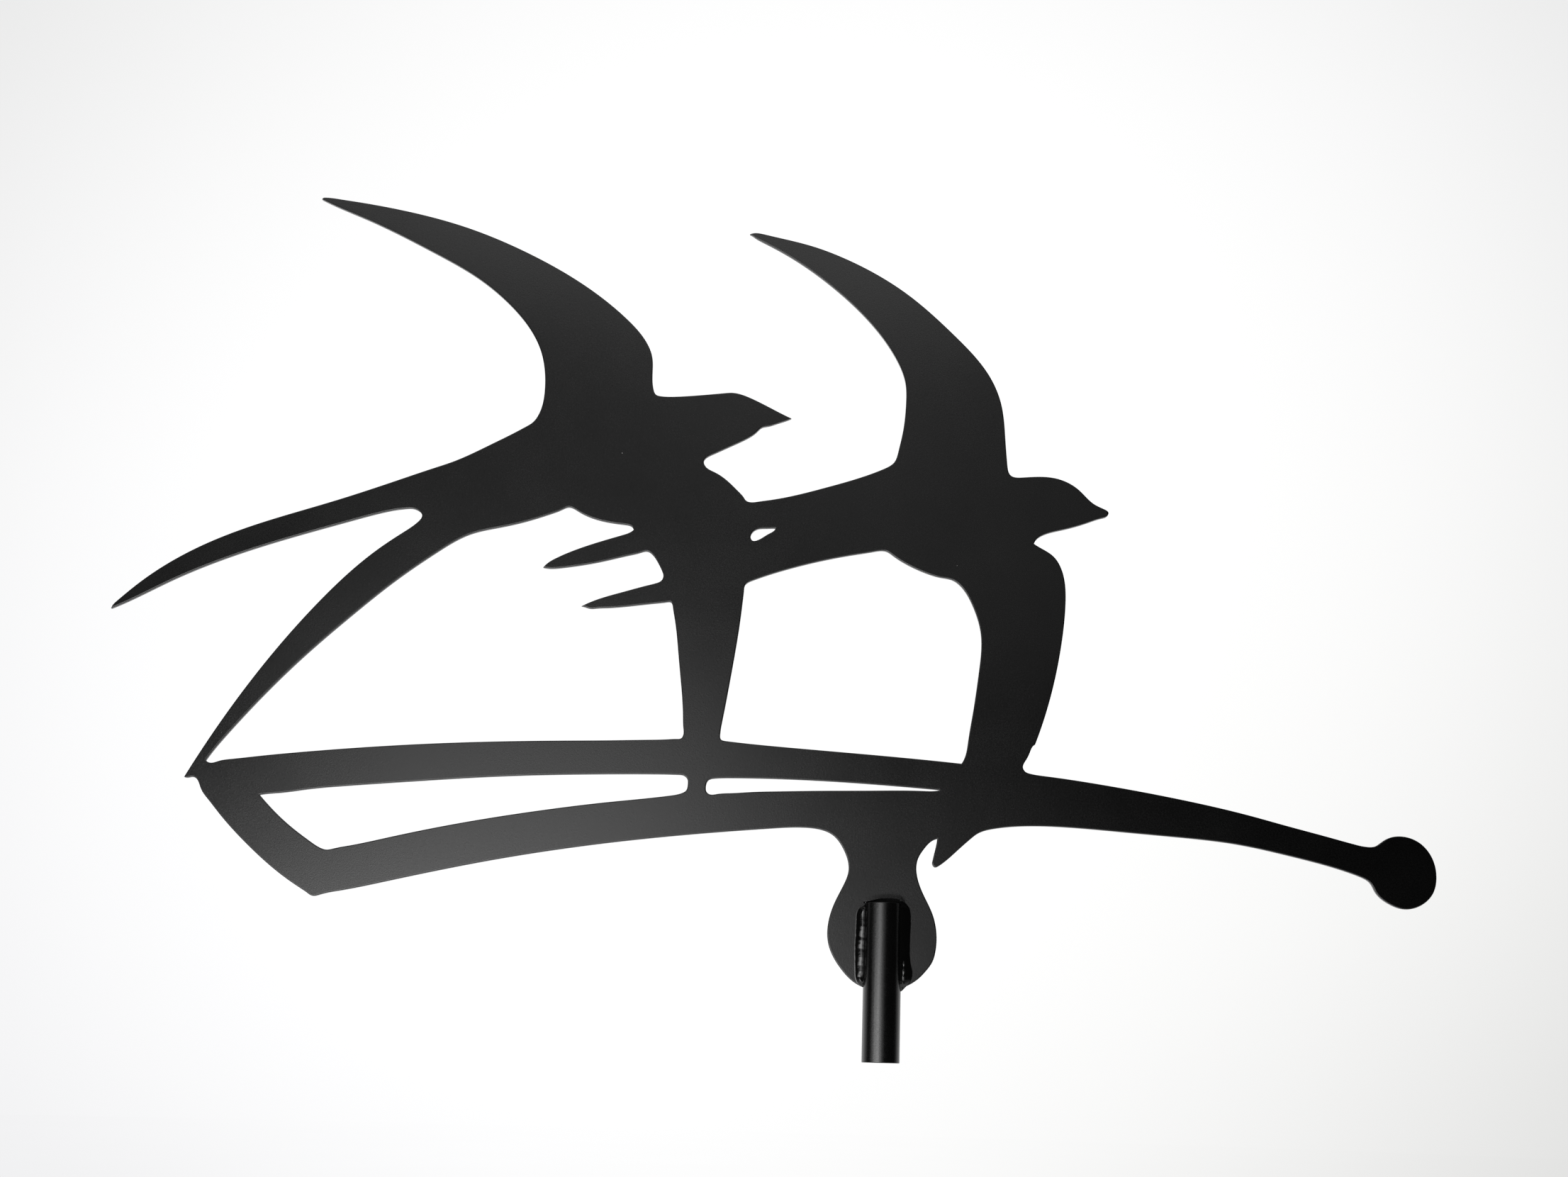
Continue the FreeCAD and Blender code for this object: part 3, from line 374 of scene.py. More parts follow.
# ---------------------------------------------------------------------------------------------------------
# Turned pieces
# ---------------------------------------------------------------------------------------------------------
def rounded(profile, steps=5):
    """A closed profile (radius, level, edge radius) with its corners rounded, and a support point beside each arc."""
    out = []
    n = len(profile)
    for i in range(n):
        p = np.array(profile[i][:2], float)
        r = profile[i][2] if len(profile[i]) > 2 else 0.0
        a = np.array(profile[i - 1][:2], float) - p
        b = np.array(profile[(i + 1) % n][:2], float) - p
        la, lb = np.hypot(*a), np.hypot(*b)
        if r <= 0 or la < 1e-9 or lb < 1e-9:
            out.append(tuple(p))
            continue
        a, b = a / la, b / lb
        half = 0.5 * math.acos(max(-1, min(1, float(a @ b))))
        cut = min(r / math.tan(half), 0.45 * la, 0.45 * lb)
        r = cut * math.tan(half)
        centre = p + (a + b) / np.hypot(*(a + b)) * (r / math.sin(half))
        start, stop = p + a * cut, p + b * cut
        out.append(tuple(start + a * min(0.12, 0.25 * la)))
        s, e = start - centre, stop - centre
        total = math.acos(max(-1, min(1, float(s @ e) / (np.hypot(*s) * np.hypot(*e)))))
        sign = 1 if s[0] * e[1] - s[1] * e[0] > 0 else -1
        for k in range(steps + 1):
            w = sign * total * k / steps
            c, d = math.cos(w), math.sin(w)
            out.append(tuple(centre + np.array([s[0] * c - s[1] * d, s[0] * d + s[1] * c])))
        out.append(tuple(stop + b * min(0.12, 0.25 * lb)))
    return out


def turned(name, profile, segments=144, wobble=None):
    """Turn a closed profile of (radius, level) about Z. Points at radius 0 become one point."""
    prof = np.array(profile, float)
    n = len(prof)
    verts, rows = [], []
    angles = np.linspace(0, 2 * math.pi, segments, endpoint=False)
    for r, z in prof:
        if r < 1e-6:
            rows.append([len(verts)] * segments)
            verts.append((0, 0, z))
            continue
        rows.append(list(range(len(verts), len(verts) + segments)))
        for w in angles:
            rr, zz = (r, z) if wobble is None else wobble(r, z, w)
            verts.append((rr * math.cos(w), rr * math.sin(w), zz))
    faces = []
    for i in range(n):
        a, b = rows[i], rows[(i + 1) % n]
        for k in range(segments):
            q = [a[k], a[(k + 1) % segments], b[(k + 1) % segments], b[k]]
            f = [v for j, v in enumerate(q) if v != q[j - 1]]
            if len(f) > 2:
                faces.append(tuple(f))
    return make_object(name, verts, faces)


def build_tube():
    profile = rounded([
        (10.0, -7.0, 0.45), (10.0, 75.75, 0.45), (9.1, 75.75, 0.08), (8.0, 74.65), (8.0, 0.05), (8.4, 0.05),
        (8.4, -1.05), (8.0, -1.05), (8.0, -7.0, 0.3)])
    # more rows along the outside, so that its coat can run a little uneven
    rows = []
    for i, p in enumerate(profile):
        q = profile[(i + 1) % len(profile)]
        rows.append(p)
        if abs(p[0] - q[0]) < 1e-6 and abs(p[1] - q[1]) > 20 and p[0] > 9:
            rows += [(p[0], p[1] + (q[1] - p[1]) * k / 60) for k in range(1, 60)]

    def coat(r, z, w):
        if r < 9.99:
            return r, z
        return r - 0.016 + 0.010 * math.sin(3 * w + z * 0.07) + 0.005 * math.sin(7 * w - z * 0.12), z

    return turned("tube", rows, 192, coat)


def build_plug():
    profile = rounded([(0, 72.25), (6.95, 72.25), (6.95, 68.75, 0.1), (8.0, 68.75, 0.1), (8.0, 74.65), (6.9, 75.75, 0.05), (0, 75.75)])
    return turned("tube_plug", profile, 96)


def build_plug_weld():
    """The seam round the plug: overlapping ripples, as a hand-held torch leaves them."""
    segments, verts, faces = 360, [], []
    k_count = 15
    for s in range(segments):
        w = 2 * math.pi * s / segments
        lump = 0.05 * smooth_noise(s / segments * 52.0, 5, 3.1)
        for k in range(k_count):
            u = -1 + 2 * k / (k_count - 1)
            lag = 0.45 * (1 - u * u)
            phase = ((s / segments * 36 - lag * 1.2) % 1.0)
            ripple = 0.055 * (phase ** 0.7) * (1 - abs(u) ** 3)
            r = 8.0 + 1.14 * u + 0.06 * smooth_noise(s / segments * 50.0, 9, 2.3) * u * u
            z = 75.72 + (0.22 + lump) * (1 - u * u) ** 0.8 + ripple
            verts.append((r * math.cos(w), r * math.sin(w), min(z, 76.0)))
        for r, z in ((8.9, 75.5), (8.0, 74.75), (7.1, 75.5)):
            verts.append((r * math.cos(w), r * math.sin(w), z))
    n = k_count + 3
    for s in range(segments):
        t = (s + 1) % segments
        for k in range(n):
            j = (k + 1) % n
            faces.append((s * n + j, t * n + j, t * n + k, s * n + k))
    return make_object("plug_weld", verts, faces)


# ---------------------------------------------------------------------------------------------------------
# Welds between tube and plate
# ---------------------------------------------------------------------------------------------------------
SPINE = 8.3           # the bead's inner edge, inside the tube's wall


def along(points, x):
    """A smooth value through (level, value) points, constant beyond them."""
    t, v = np.array(sorted(points), float).T
    slope = np.gradient(v, t)
    slope[0] = slope[-1] = 0
    x = np.clip(x, t[0], t[-1])
    k = np.clip(np.searchsorted(t, x) - 1, 0, len(t) - 2)
    g = t[k + 1] - t[k]
    f = (x - t[k]) / g
    return (v[k] * (2 * f ** 3 - 3 * f ** 2 + 1) + slope[k] * g * (f ** 3 - 2 * f ** 2 + f)
            + v[k + 1] * (3 * f ** 2 - 2 * f ** 3) + slope[k + 1] * g * (f ** 3 - f ** 2))


def build_bead(name, side, face, border, crown, ridge, seed, toe=0.0, lip=0.75, steep=48.0, fall=5.5, drop=0.5,
               lean=0.4, bumps=(), blunt=0.0, pitch=1.9, depth=0.009, rough=1.0):
    """A weld bead. border: outline of its foot from the tube at the top to the tube at the bottom, (distance from
    the axis, level). crown: (level, height) of its top. ridge: (level, distance from the axis) of its highest line.
    toe: slope where it leaves the plate. bumps: (distance, level, height, half width, half length) of drops on it.
    blunt: level under which the bead ends in a flat run-out."""
    foot = cubic(border, 0.16)
    top, low = foot[0][1], foot[-1][1]
    rows = len(foot)
    reach = 3.6
    alpha = np.radians(np.linspace(toe, steep, 7))
    lip_d, lip_h = lip * np.abs(np.sin(alpha) - np.sin(alpha[0])), lip * np.abs(np.cos(alpha) - np.cos(alpha[0]))
    tau = np.linspace(0, 1, 36)[1:] ** 1.15
    cols = len(lip_d) + len(tau)
    x = foot[:, 0] + 0.06 * smooth_noise(foot[:, 1], seed + 5, 1.7)
    z = foot[:, 1]
    d = np.c_[0.98 * (SPINE - x), 0.96 * (np.clip(z, low + reach, top - reach) - z)]
    length = np.hypot(*d.T)
    d /= length[:, None]
    run = (length - lip_d[-1])[:, None]
    a = np.hstack([np.tile(lip_d, (rows, 1)), lip_d[-1] + run * tau])
    px, pz = x[:, None] + d[:, :1] * a, z[:, None] + d[:, 1:] * a
    # where along the row the crest lies: on the ridge line, or at the tube where the row starts inside that line
    beyond = x - along(ridge, z)
    to_crest = beyond / np.maximum(-d[:, 0], 0.05) - lip_d[-1]
    apart = np.clip(beyond / 1.6, 0, 1)
    apart = apart * apart * (3 - 2 * apart)
    c = 1 - (1 - np.clip(to_crest / run[:, 0], 0.35, 1.0)) * apart
    c = c[:, None]
    body = pz[:, len(lip_d):]
    share = np.clip((along(crown, body) - lip_h[-1]) / (math.tan(math.radians(steep)) * run * c), 0.06, 0.80)
    tall = share * math.tan(math.radians(steep)) * run * c
    q = share / (1 - share)
    s = np.minimum(tau / c, 1.0)
    climb = (s - s ** (q + 1) / (q + 1)) * (q + 1) / q
    tip = np.clip((c - 0.8) / 0.2, 0, 1) * lean
    climb = climb * (1 - tip) + s * tip
    end = np.clip((blunt - z) / 1.6, 0, 1)[:, None]
    past = np.maximum(tau - c, 0) * run / 1.6
    past = past * (1 - end) + np.minimum(past, 2.0) * end
    y = lip_h[-1] + tall * climb * (1 - (drop + (0.30 - drop) * end) * past ** (fall + (1.2 - fall) * end))
    # ripples: soft crescents that trail behind the crown, uneven in length and height
    wave = body / pitch - 0.42 * np.cos((tau - c) * 2.4) + 0.75 * smooth_noise(body, seed + 3, 3.1)
    scale = 0.60 + 0.40 * smooth_noise(body, seed + 7, 2.7)
    y += depth * scale * np.sin(2 * math.pi * wave) * np.minimum(1.0, tau * 3.2)
    y += rough * 0.034 * smooth_noise(body + tau * 2.1, seed + 11, 1.5) * np.minimum(1.0, tau * 4)
    y += rough * 0.008 * smooth_noise(body * 0.8 - tau * 4.7, seed + 13, 0.7) * np.minimum(1.0, tau * 3)
    for bx, bz, high, wide, tall_z in bumps:
        y += high * np.exp(-((px[:, len(lip_d):] - bx) / wide) ** 2 - ((body - bz) / tall_z) ** 2)
    y = np.hstack([np.tile(lip_h, (rows, 1)), y])
    outer = np.stack([side * px, face * (HALF + np.maximum(y, 0.0)), pz], 2).reshape(-1, 3)
    under = outer.copy()
    under[:, 1] = face * (HALF - 0.9)
    verts = np.concatenate([outer, under])
    n = rows * cols
    faces = []
    flip = (side * face) > 0

    def quad(a, b, c, d):
        faces.append((a, b, c, d) if flip else (d, c, b, a))

    for i in range(rows - 1):
        for k in range(cols - 1):
            a, b, c, d = i * cols + k, (i + 1) * cols + k, (i + 1) * cols + k + 1, i * cols + k + 1
            quad(a, b, c, d)
            quad(n + d, n + c, n + b, n + a)
        a, b = i * cols, (i + 1) * cols
        quad(b, a, n + a, n + b)
        a, b = i * cols + cols - 1, (i + 1) * cols + cols - 1
        quad(a, b, n + b, n + a)
    for k in range(cols - 1):
        a, b = k, k + 1
        quad(a, b, n + b, n + a)
        a, b = (rows - 1) * cols + k, (rows - 1) * cols + k + 1
        quad(b, a, n + a, n + b)
    obj = make_object(name, verts, faces)
    # the walls under the bead meet its surface in a hard edge
    border_line = np.zeros(n, bool)
    grid = np.arange(n).reshape(rows, cols)
    border_line[grid[0]] = border_line[grid[-1]] = border_line[grid[:, 0]] = border_line[grid[:, -1]] = True
    ends = np.empty(len(obj.data.edges) * 2, np.int32)
    obj.data.edges.foreach_get("vertices", ends)
    ends = ends.reshape(-1, 2)
    on = border_line[ends % n]
    same = (ends[:, 0] < n) == (ends[:, 1] < n)
    mark = obj.data.attributes.new("sharp_edge", "BOOLEAN", "EDGE")
    mark.data.foreach_set("value", on.all(axis=1) & same)
    return obj


def build_beads():
    left = build_bead("weld_bead_front_left", -1, -1, [
        (8.8, 75.6), (10.1, 75.5), (11.2, 74.7), (12.4, 73.6), (13.6, 72.0), (14.25, 70.0), (14.5, 67.0), (14.65, 60.0),
        (14.95, 52.0), (14.8, 45.0), (14.65, 39.0), (14.4, 36.4), (13.5, 34.2), (12.3, 32.8), (10.9, 32.4), (8.8, 32.3)],
        [(76.1, 2.2), (73.0, 2.62), (69.6, 2.32), (67.6, 2.28), (65.2, 2.44), (62.8, 2.48), (57.8, 2.14), (55.8, 2.22),
         (51.6, 1.98), (49.2, 2.10), (47.4, 2.16), (42.8, 1.84), (41.4, 1.92), (38.9, 1.88), (37.6, 1.50), (36.8, 1.40),
         (35.6, 1.65), (34.0, 1.60), (32.0, 1.30)],
        [(32.0, 9.6), (33.5, 11.2), (35.0, 11.7), (37.0, 11.4), (39.0, 10.9), (45.0, 10.8), (60.0, 10.5), (75.0, 10.6)], 21,
        lip=1.15, blunt=37.6)
    right = build_bead("weld_bead_front_right", 1, -1, [
        (8.8, 77.5), (10.3, 77.5), (11.6, 76.4), (12.9, 75.0), (14.0, 73.4), (14.5, 71.4), (14.7, 62.0), (14.5, 55.0),
        (14.5, 49.0), (14.9, 45.2), (15.7, 41.8), (16.0, 39.0), (15.6, 36.6), (14.4, 34.4), (12.8, 32.7), (11.4, 31.2),
        (10.35, 30.2), (8.8, 30.1)],
        [(77.5, 2.2), (72.0, 3.0), (60.0, 3.05), (50.0, 2.95), (45.0, 3.0), (40.0, 3.1), (36.0, 2.8), (33.0, 2.2), (30.1, 1.2)],
        [(30.0, 8.6), (76.0, 8.6)], 37, bumps=[
            (11.45, 44.2, 0.50, 0.44, 1.5), (11.40, 40.2, 0.56, 0.44, 1.4), (11.30, 37.0, 0.56, 0.42, 1.3),
            (11.15, 34.0, 0.24, 0.40, 1.2), (10.75, 31.2, 0.42, 0.42, 0.7)])
    back_left = build_bead("weld_bead_back_left", -1, 1, [
        (9.2, 74.4), (11.0, 74.0), (12.8, 72.9), (14.0, 70.8), (14.4, 68.0), (14.5, 62.0), (14.3, 55.0), (14.6, 48.0),
        (14.5, 42.0), (14.2, 37.8), (13.2, 35.0), (11.3, 33.3), (9.2, 33.0)],
        [(74.4, 2.1), (70.0, 2.5), (66.0, 2.35), (62.0, 2.55), (56.0, 2.3), (50.0, 2.45), (44.0, 2.2), (39.0, 2.3), (33.0, 1.7)],
        [(33.0, 11.2), (75.0, 11.0)], 53, fall=3.0, depth=0.045)
    back_right = build_bead("weld_bead_back_right", 1, 1, [
        (9.2, 74.2), (11.1, 73.8), (12.9, 72.6), (14.0, 70.5), (14.4, 67.5), (14.4, 62.0), (14.6, 55.0), (14.4, 48.0),
        (14.5, 42.0), (14.2, 38.0), (13.2, 35.2), (11.3, 33.4), (9.2, 33.1)],
        [(74.2, 2.0), (70.0, 2.45), (64.0, 2.3), (58.0, 2.5), (52.0, 2.25), (46.0, 2.5), (40.0, 2.3), (33.0, 1.7)],
        [(33.0, 11.2), (75.0, 11.0)], 71, fall=3.0, depth=0.045)
    return left, right, back_left, back_right


# ---------------------------------------------------------------------------------------------------------
# Materials
# ---------------------------------------------------------------------------------------------------------
class Graph:
    """A short way to write a node tree."""

    def __init__(self, tree):
        self.tree = tree
        tree.nodes.clear()

    def node(self, kind, inputs=None, **settings):
        n = self.tree.nodes.new(kind)
        for key, value in settings.items():
            setattr(n, key, value)
        for key, value in (inputs or {}).items():
            socket = n.inputs[key]
            if isinstance(value, bpy.types.NodeSocket):
                self.tree.links.new(value, socket)
            else:
                socket.default_value = value
        return n

    def math(self, operation, a, b=0.0, c=0.0, clamp=False):
        n = self.node("ShaderNodeMath", {0: a, 1: b, 2: c}, operation=operation)
        n.use_clamp = clamp
        return n.outputs[0]

    def noise(self, vector, scale, detail=2.0, rough=0.5, distortion=0.0):
        n = self.node("ShaderNodeTexNoise", {"Vector": vector, "Scale": scale, "Detail": detail, "Roughness": rough, "Distortion": distortion})
        return n.outputs["Fac"]

    def span(self, value, low, high, to_low, to_high, kind="LINEAR"):
        n = self.node("ShaderNodeMapRange", {"Value": value, "From Min": low, "From Max": high, "To Min": to_low, "To Max": to_high})
        n.interpolation_type = kind
        n.clamp = True
        return n.outputs["Result"]

    def mix(self, fac, a, b):
        n = self.node("ShaderNodeMix", data_type="RGBA")
        for socket, value in ((n.inputs[0], fac), (n.inputs[6], a), (n.inputs[7], b)):
            if isinstance(value, bpy.types.NodeSocket):
                self.tree.links.new(value, socket)
            else:
                socket.default_value = value
        return n.outputs[2]

    def offset(self, vector, dx, dy, dz):
        return self.node("ShaderNodeVectorMath", {0: vector, 1: (dx, dy, dz)}, operation="ADD").outputs[0]


def new_material(name):
    material = bpy.data.materials.new(name)
    material.use_nodes = True
    return material, Graph(material.node_tree)


def grey(v, warm=0.0):
    return (v * (1 + warm), v, v * (1 - warm), 1.0)


def powder_coat(name, seed, dark=0.0005, light=0.0013, rough=(0.22, 0.27), grain=0.42):
    """Black satin powder coat: a fine grain, a soft orange peel, slow patches and a few pale specks."""
    material, g = new_material(name)
    where = g.offset(g.node("ShaderNodeTexCoord").outputs["Object"], seed * 0.013, seed * 0.007, -seed * 0.011)
    fine = g.noise(where, 2100.0, 2.0, 0.6)
    peel = g.noise(where, 1080.0, 1.5, 0.55)
    patch = g.noise(where, 34.0, 3.0, 0.55)
    slow = g.noise(where, 9.0, 2.0, 0.5)
    cell = g.node("ShaderNodeTexVoronoi", {"Vector": where, "Scale": 105.0, "Randomness": 1.0}, feature="F1")
    chance = g.math("GREATER_THAN", g.noise(where, 61.0, 0.0), 0.66)
    speck = g.math("MULTIPLY", g.math("LESS_THAN", cell.outputs["Distance"], 0.024), chance)

    tone = g.math("MULTIPLY_ADD", fine, 0.5, g.math("MULTIPLY", patch, 0.5))
    body = g.mix(g.span(tone, 0.3, 0.7, 0.0, 1.0), grey(dark), grey(light, 0.02))
    colour = g.mix(speck, body, grey(0.30, 0.01))
    gloss = g.math("ADD", g.span(g.math("MULTIPLY_ADD", slow, 0.5, g.math("MULTIPLY", patch, 0.5)), 0.32, 0.68, rough[0], rough[1]), g.math("MULTIPLY_ADD", peel, 0.18, -0.09))
    height = g.math("ADD", g.math("MULTIPLY", peel, 0.75), g.math("MULTIPLY_ADD", fine, 0.70, g.math("MULTIPLY", speck, 0.8)))
    bump = g.node("ShaderNodeBump", {"Height": height, "Strength": grain, "Distance": 0.00006})
    shader = g.node("ShaderNodeBsdfPrincipled", {"Base Color": colour, "Roughness": gloss, "Normal": bump.outputs["Normal"], "IOR": 1.5, "Metallic": 0.0})
    g.node("ShaderNodeOutputMaterial", {"Surface": shader.outputs[0]})
    return material


def turned_metal(name, tint, rough, lines=2600.0, axial=False, seed=1.0, blotch=0.10, depth=0.35, oily=0.0):
    """Metal with the fine marks of its making: rings round the axis, or lines along it."""
    material, g = new_material(name)
    where = g.node("ShaderNodeTexCoord").outputs["Object"]
    parts = g.node("ShaderNodeSeparateXYZ", {0: where})
    x, y, z = parts.outputs[0], parts.outputs[1], parts.outputs[2]
    radius = g.math("SQRT", g.math("ADD", g.math("MULTIPLY", x, x), g.math("MULTIPLY", y, y)))
    if axial:
        turn = g.math("MULTIPLY", g.math("ARCTAN2", y, x), 0.005)
        along = g.node("ShaderNodeCombineXYZ", {0: turn, 1: radius, 2: g.math("MULTIPLY", z, 0.02)})
    else:
        along = g.node("ShaderNodeCombineXYZ", {0: radius, 1: z, 2: seed * 0.31})
    marks = g.noise(along.outputs[0], lines, 3.0, 0.65)
    spots = g.noise(g.offset(where, seed, 0.0, seed), 420.0, 4.0, 0.6)
    patch = g.noise(g.offset(where, 0.0, seed, 0.0), 130.0, 3.0, 0.5)
    low, high = [c * (1 - blotch) for c in tint], [min(1.0, c * (1 + blotch * 0.6)) for c in tint]
    tone = g.math("MULTIPLY_ADD", marks, 0.45, g.math("MULTIPLY_ADD", spots, 0.25, g.math("MULTIPLY", patch, 0.3)))
    colour = g.mix(g.span(tone, 0.35, 0.65, 0.0, 1.0), (*low, 1.0), (*high, 1.0))
    if oily:
        film = g.span(g.noise(where, 210.0, 3.0, 0.5), 0.55, 0.75, 0.0, oily)
        colour = g.mix(film, colour, (0.10, 0.075, 0.04, 1.0))
    gloss = g.math("ADD", g.span(marks, 0.3, 0.7, rough[0], rough[1]), g.math("MULTIPLY_ADD", patch, 0.10, -0.05))
    height = g.math("MULTIPLY_ADD", marks, 0.8, g.math("MULTIPLY", spots, 0.2))
    bump = g.node("ShaderNodeBump", {"Height": height, "Strength": depth, "Distance": 0.00001})
    shader = g.node("ShaderNodeBsdfPrincipled", {"Base Color": colour, "Roughness": gloss, "Normal": bump.outputs["Normal"], "Metallic": 1.0})
    g.node("ShaderNodeOutputMaterial", {"Surface": shader.outputs[0]})
    return material


def polished_steel(name):
    """Ball steel: bright, with hair-fine scratches and a trace of grease."""
    material, g = new_material(name)
    where = g.node("ShaderNodeTexCoord").outputs["Object"]
    scratch = g.noise(g.node("ShaderNodeVectorMath", {0: where, 1: (3.0, 0.4, 1.0)}, operation="MULTIPLY").outputs[0], 3000.0, 4.0, 0.7, 0.6)
    smear = g.noise(where, 900.0, 3.0, 0.5)
    colour = g.mix(g.span(smear, 0.4, 0.7, 0.0, 1.0), (0.66, 0.665, 0.67, 1.0), (0.46, 0.45, 0.42, 1.0))
    gloss = g.math("ADD", g.span(scratch, 0.35, 0.65, 0.08, 0.20), g.span(smear, 0.45, 0.7, 0.0, 0.14))
    bump = g.node("ShaderNodeBump", {"Height": scratch, "Strength": 0.15, "Distance": 0.000004})
    shader = g.node("ShaderNodeBsdfPrincipled", {"Base Color": colour, "Roughness": gloss, "Normal": bump.outputs["Normal"], "Metallic": 1.0})
    g.node("ShaderNodeOutputMaterial", {"Surface": shader.outputs[0]})
    return material


# ---------------------------------------------------------------------------------------------------------
# The object
# ---------------------------------------------------------------------------------------------------------
coat_plate = powder_coat("powder_coat_plate", 1.0)
coat_tube = powder_coat("powder_coat_tube", 2.0)
coat_weld = powder_coat("powder_coat_weld", 3.0, rough=(0.165, 0.215), grain=0.15)


def place(obj, material, *nodes):
    obj.data.materials.clear()
    obj.data.materials.append(material)
    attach(obj, "vane")
    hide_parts(*nodes)
    return obj


place(build_plate(), coat_plate, "silhouette_plate")
place(build_tube(), coat_tube, "pivot_tube")
beads = build_beads()
for bead, node in zip(beads, ("weld_front_left", "weld_front_right", "weld_back_left", "weld_back_right")):
    place(bead, coat_weld, node)
place(build_plug(), coat_tube, "top_plug")
place(build_plug_weld(), coat_weld, "top_plug_weld")

ring_steel = turned_metal("bearing_ring_steel", (0.56, 0.565, 0.57), (0.16, 0.30), seed=1.0, oily=0.25)
shield_steel = turned_metal("plated_shield", (0.52, 0.52, 0.50), (0.26, 0.40), lines=1500.0, seed=2.0, blotch=0.16)
cage_steel = turned_metal("pressed_cage", (0.50, 0.48, 0.44), (0.24, 0.38), lines=1200.0, seed=3.0, oily=0.4)
spring_steel = turned_metal("blued_spring_steel", (0.13, 0.125, 0.13), (0.30, 0.44), lines=1900.0, seed=4.0, blotch=0.25)
aluminium = turned_metal("turned_aluminium", (0.72, 0.725, 0.73), (0.24, 0.38), lines=3400.0, seed=5.0, depth=0.6)
sleeve_steel = turned_metal("drawn_steel", (0.50, 0.50, 0.505), (0.22, 0.36), lines=2400.0, axial=True, seed=6.0, oily=0.2)
ball_steel = polished_steel("ball_steel")

FINISH = {"retaining_ring": spring_steel, "bearing_spacer_tube": aluminium, "inner_spacer_sleeve": sleeve_steel}
for level in ("lower", "upper"):
    FINISH[level + "_outer_ring"] = FINISH[level + "_inner_ring"] = ring_steel
    FINISH[level + "_balls"] = ball_steel
    FINISH[level + "_ball_cage"] = cage_steel
    FINISH[level + "_shield_bottom"] = FINISH[level + "_shield_top"] = shield_steel
for node, finish in FINISH.items():
    mesh = NODES[node].data
    mesh.materials.clear()
    mesh.materials.append(finish)

# ---------------------------------------------------------------------------------------------------------
# Studio
# ---------------------------------------------------------------------------------------------------------
scene = bpy.context.scene
scene.view_settings.view_transform = "Standard"
scene.view_settings.look = "None"
scene.view_settings.exposure = 0.0
scene.view_settings.gamma = 1.0


def make_camera():
    data = bpy.data.cameras.new("camera")
    data.lens, data.sensor_width, data.sensor_fit = 48.82, 36.0, "HORIZONTAL"
    data.clip_start, data.clip_end = 0.01, 500.0
    cam = bpy.data.objects.new("camera", data)
    scene.collection.objects.link(cam)
    right = Vector((0.99961, 0.0, 0.02785)).normalized()
    ahead = Vector((-0.00606, 0.97600, 0.21767)).normalized()
    up = right.cross(ahead).normalized()
    right = ahead.cross(up).normalized()
    m = Matrix.Identity(4)
    for i in range(3):
        m[i][0], m[i][1], m[i][2] = right[i], up[i], -ahead[i]
    m.translation = Vector((-0.05037, -1.1385, -0.00840))
    cam.matrix_world = m
    scene.camera = cam
    return cam


def softbox(name, azimuth, elevation, distance, wide, tall, radiance, target=(-0.05, 0, 0.15)):
    """A soft area light. Azimuth 0 is in front of the vane's front face, negative to the left."""
    a, e = math.radians(azimuth), math.radians(elevation)
    to = Vector((math.sin(a) * math.cos(e), -math.cos(a) * math.cos(e), math.sin(e)))
    data = bpy.data.lights.new(name, "AREA")
    data.shape = "RECTANGLE"
    data.size, data.size_y = wide, tall
    data.energy = radiance * math.pi * wide * tall
    obj = bpy.data.objects.new(name, data)
    obj.location = Vector(target) + to * distance
    obj.rotation_mode = "QUATERNION"
    obj.rotation_quaternion = (-to).to_track_quat("-Z", "Y")
    obj.visible_camera = False
    scene.collection.objects.link(obj)
    return obj


def backdrop_painted_falloff(g, way, x, z):
    """The pale surroundings in a direction, with a painted falloff of light: a little brighter in the middle, a little
    darker at the lower right.
    """
    axis = g.node("ShaderNodeVectorMath", {0: way, 1: (0.0, 0.974, 0.226)}, operation="DOT_PRODUCT").outputs["Value"]
    middle = g.span(axis, 0.88, 1.0, 0.80, 1.04, "SMOOTHSTEP")
    low = g.span(z, 0.42, 0.0, 0.0, 1.0)
    tone = g.math("MULTIPLY_ADD", g.math("MULTIPLY", x, low), -0.18, middle)
    blue = g.math("MULTIPLY", tone, g.math("MULTIPLY_ADD", g.math("MULTIPLY", x, low), -0.03, 1.0))
    return g.node("ShaderNodeCombineColor", {0: tone, 1: tone, 2: blue}).outputs[0]


def make_world():
    world = bpy.data.worlds.new("studio")
    world.use_nodes = True
    scene.world = world
    g = Graph(world.node_tree)
    way = g.node("ShaderNodeTexCoord").outputs["Generated"]
    parts = g.node("ShaderNodeSeparateXYZ", {0: way})
    x, y, z = parts.outputs[0], parts.outputs[1], parts.outputs[2]
    tint = backdrop_painted_falloff(g, way, x, z)
    # what lights the vane: white behind it and below it, dim in front of it
    side = g.span(x, -1.0, 1.0, 1.30, 0.80)
    behind = g.math("MAXIMUM", g.math("MULTIPLY", g.span(y, 0.02, 0.60, 0.0, 1.0), side), DIM)
    below = g.span(z, -0.20, -0.75, 0.0, 0.9, "SMOOTHSTEP")
    above = g.span(z, 0.22, 0.60, 0.0, ABOVE, "SMOOTHSTEP")
    room = g.math("MAXIMUM", behind, g.math("MAXIMUM", below, above))
    flat = g.node("ShaderNodeCombineColor", {0: room, 1: room, 2: room}).outputs[0]
    path = g.node("ShaderNodeLightPath").outputs["Is Camera Ray"]
    # camera rays see the pale surroundings with their painted falloff of light; all other rays see the room light
    colour = g.mix(path, flat, tint)
    back = g.node("ShaderNodeBackground", {"Color": colour, "Strength": 1.0})
    g.node("ShaderNodeOutputWorld", {"Surface": back.outputs[0]})


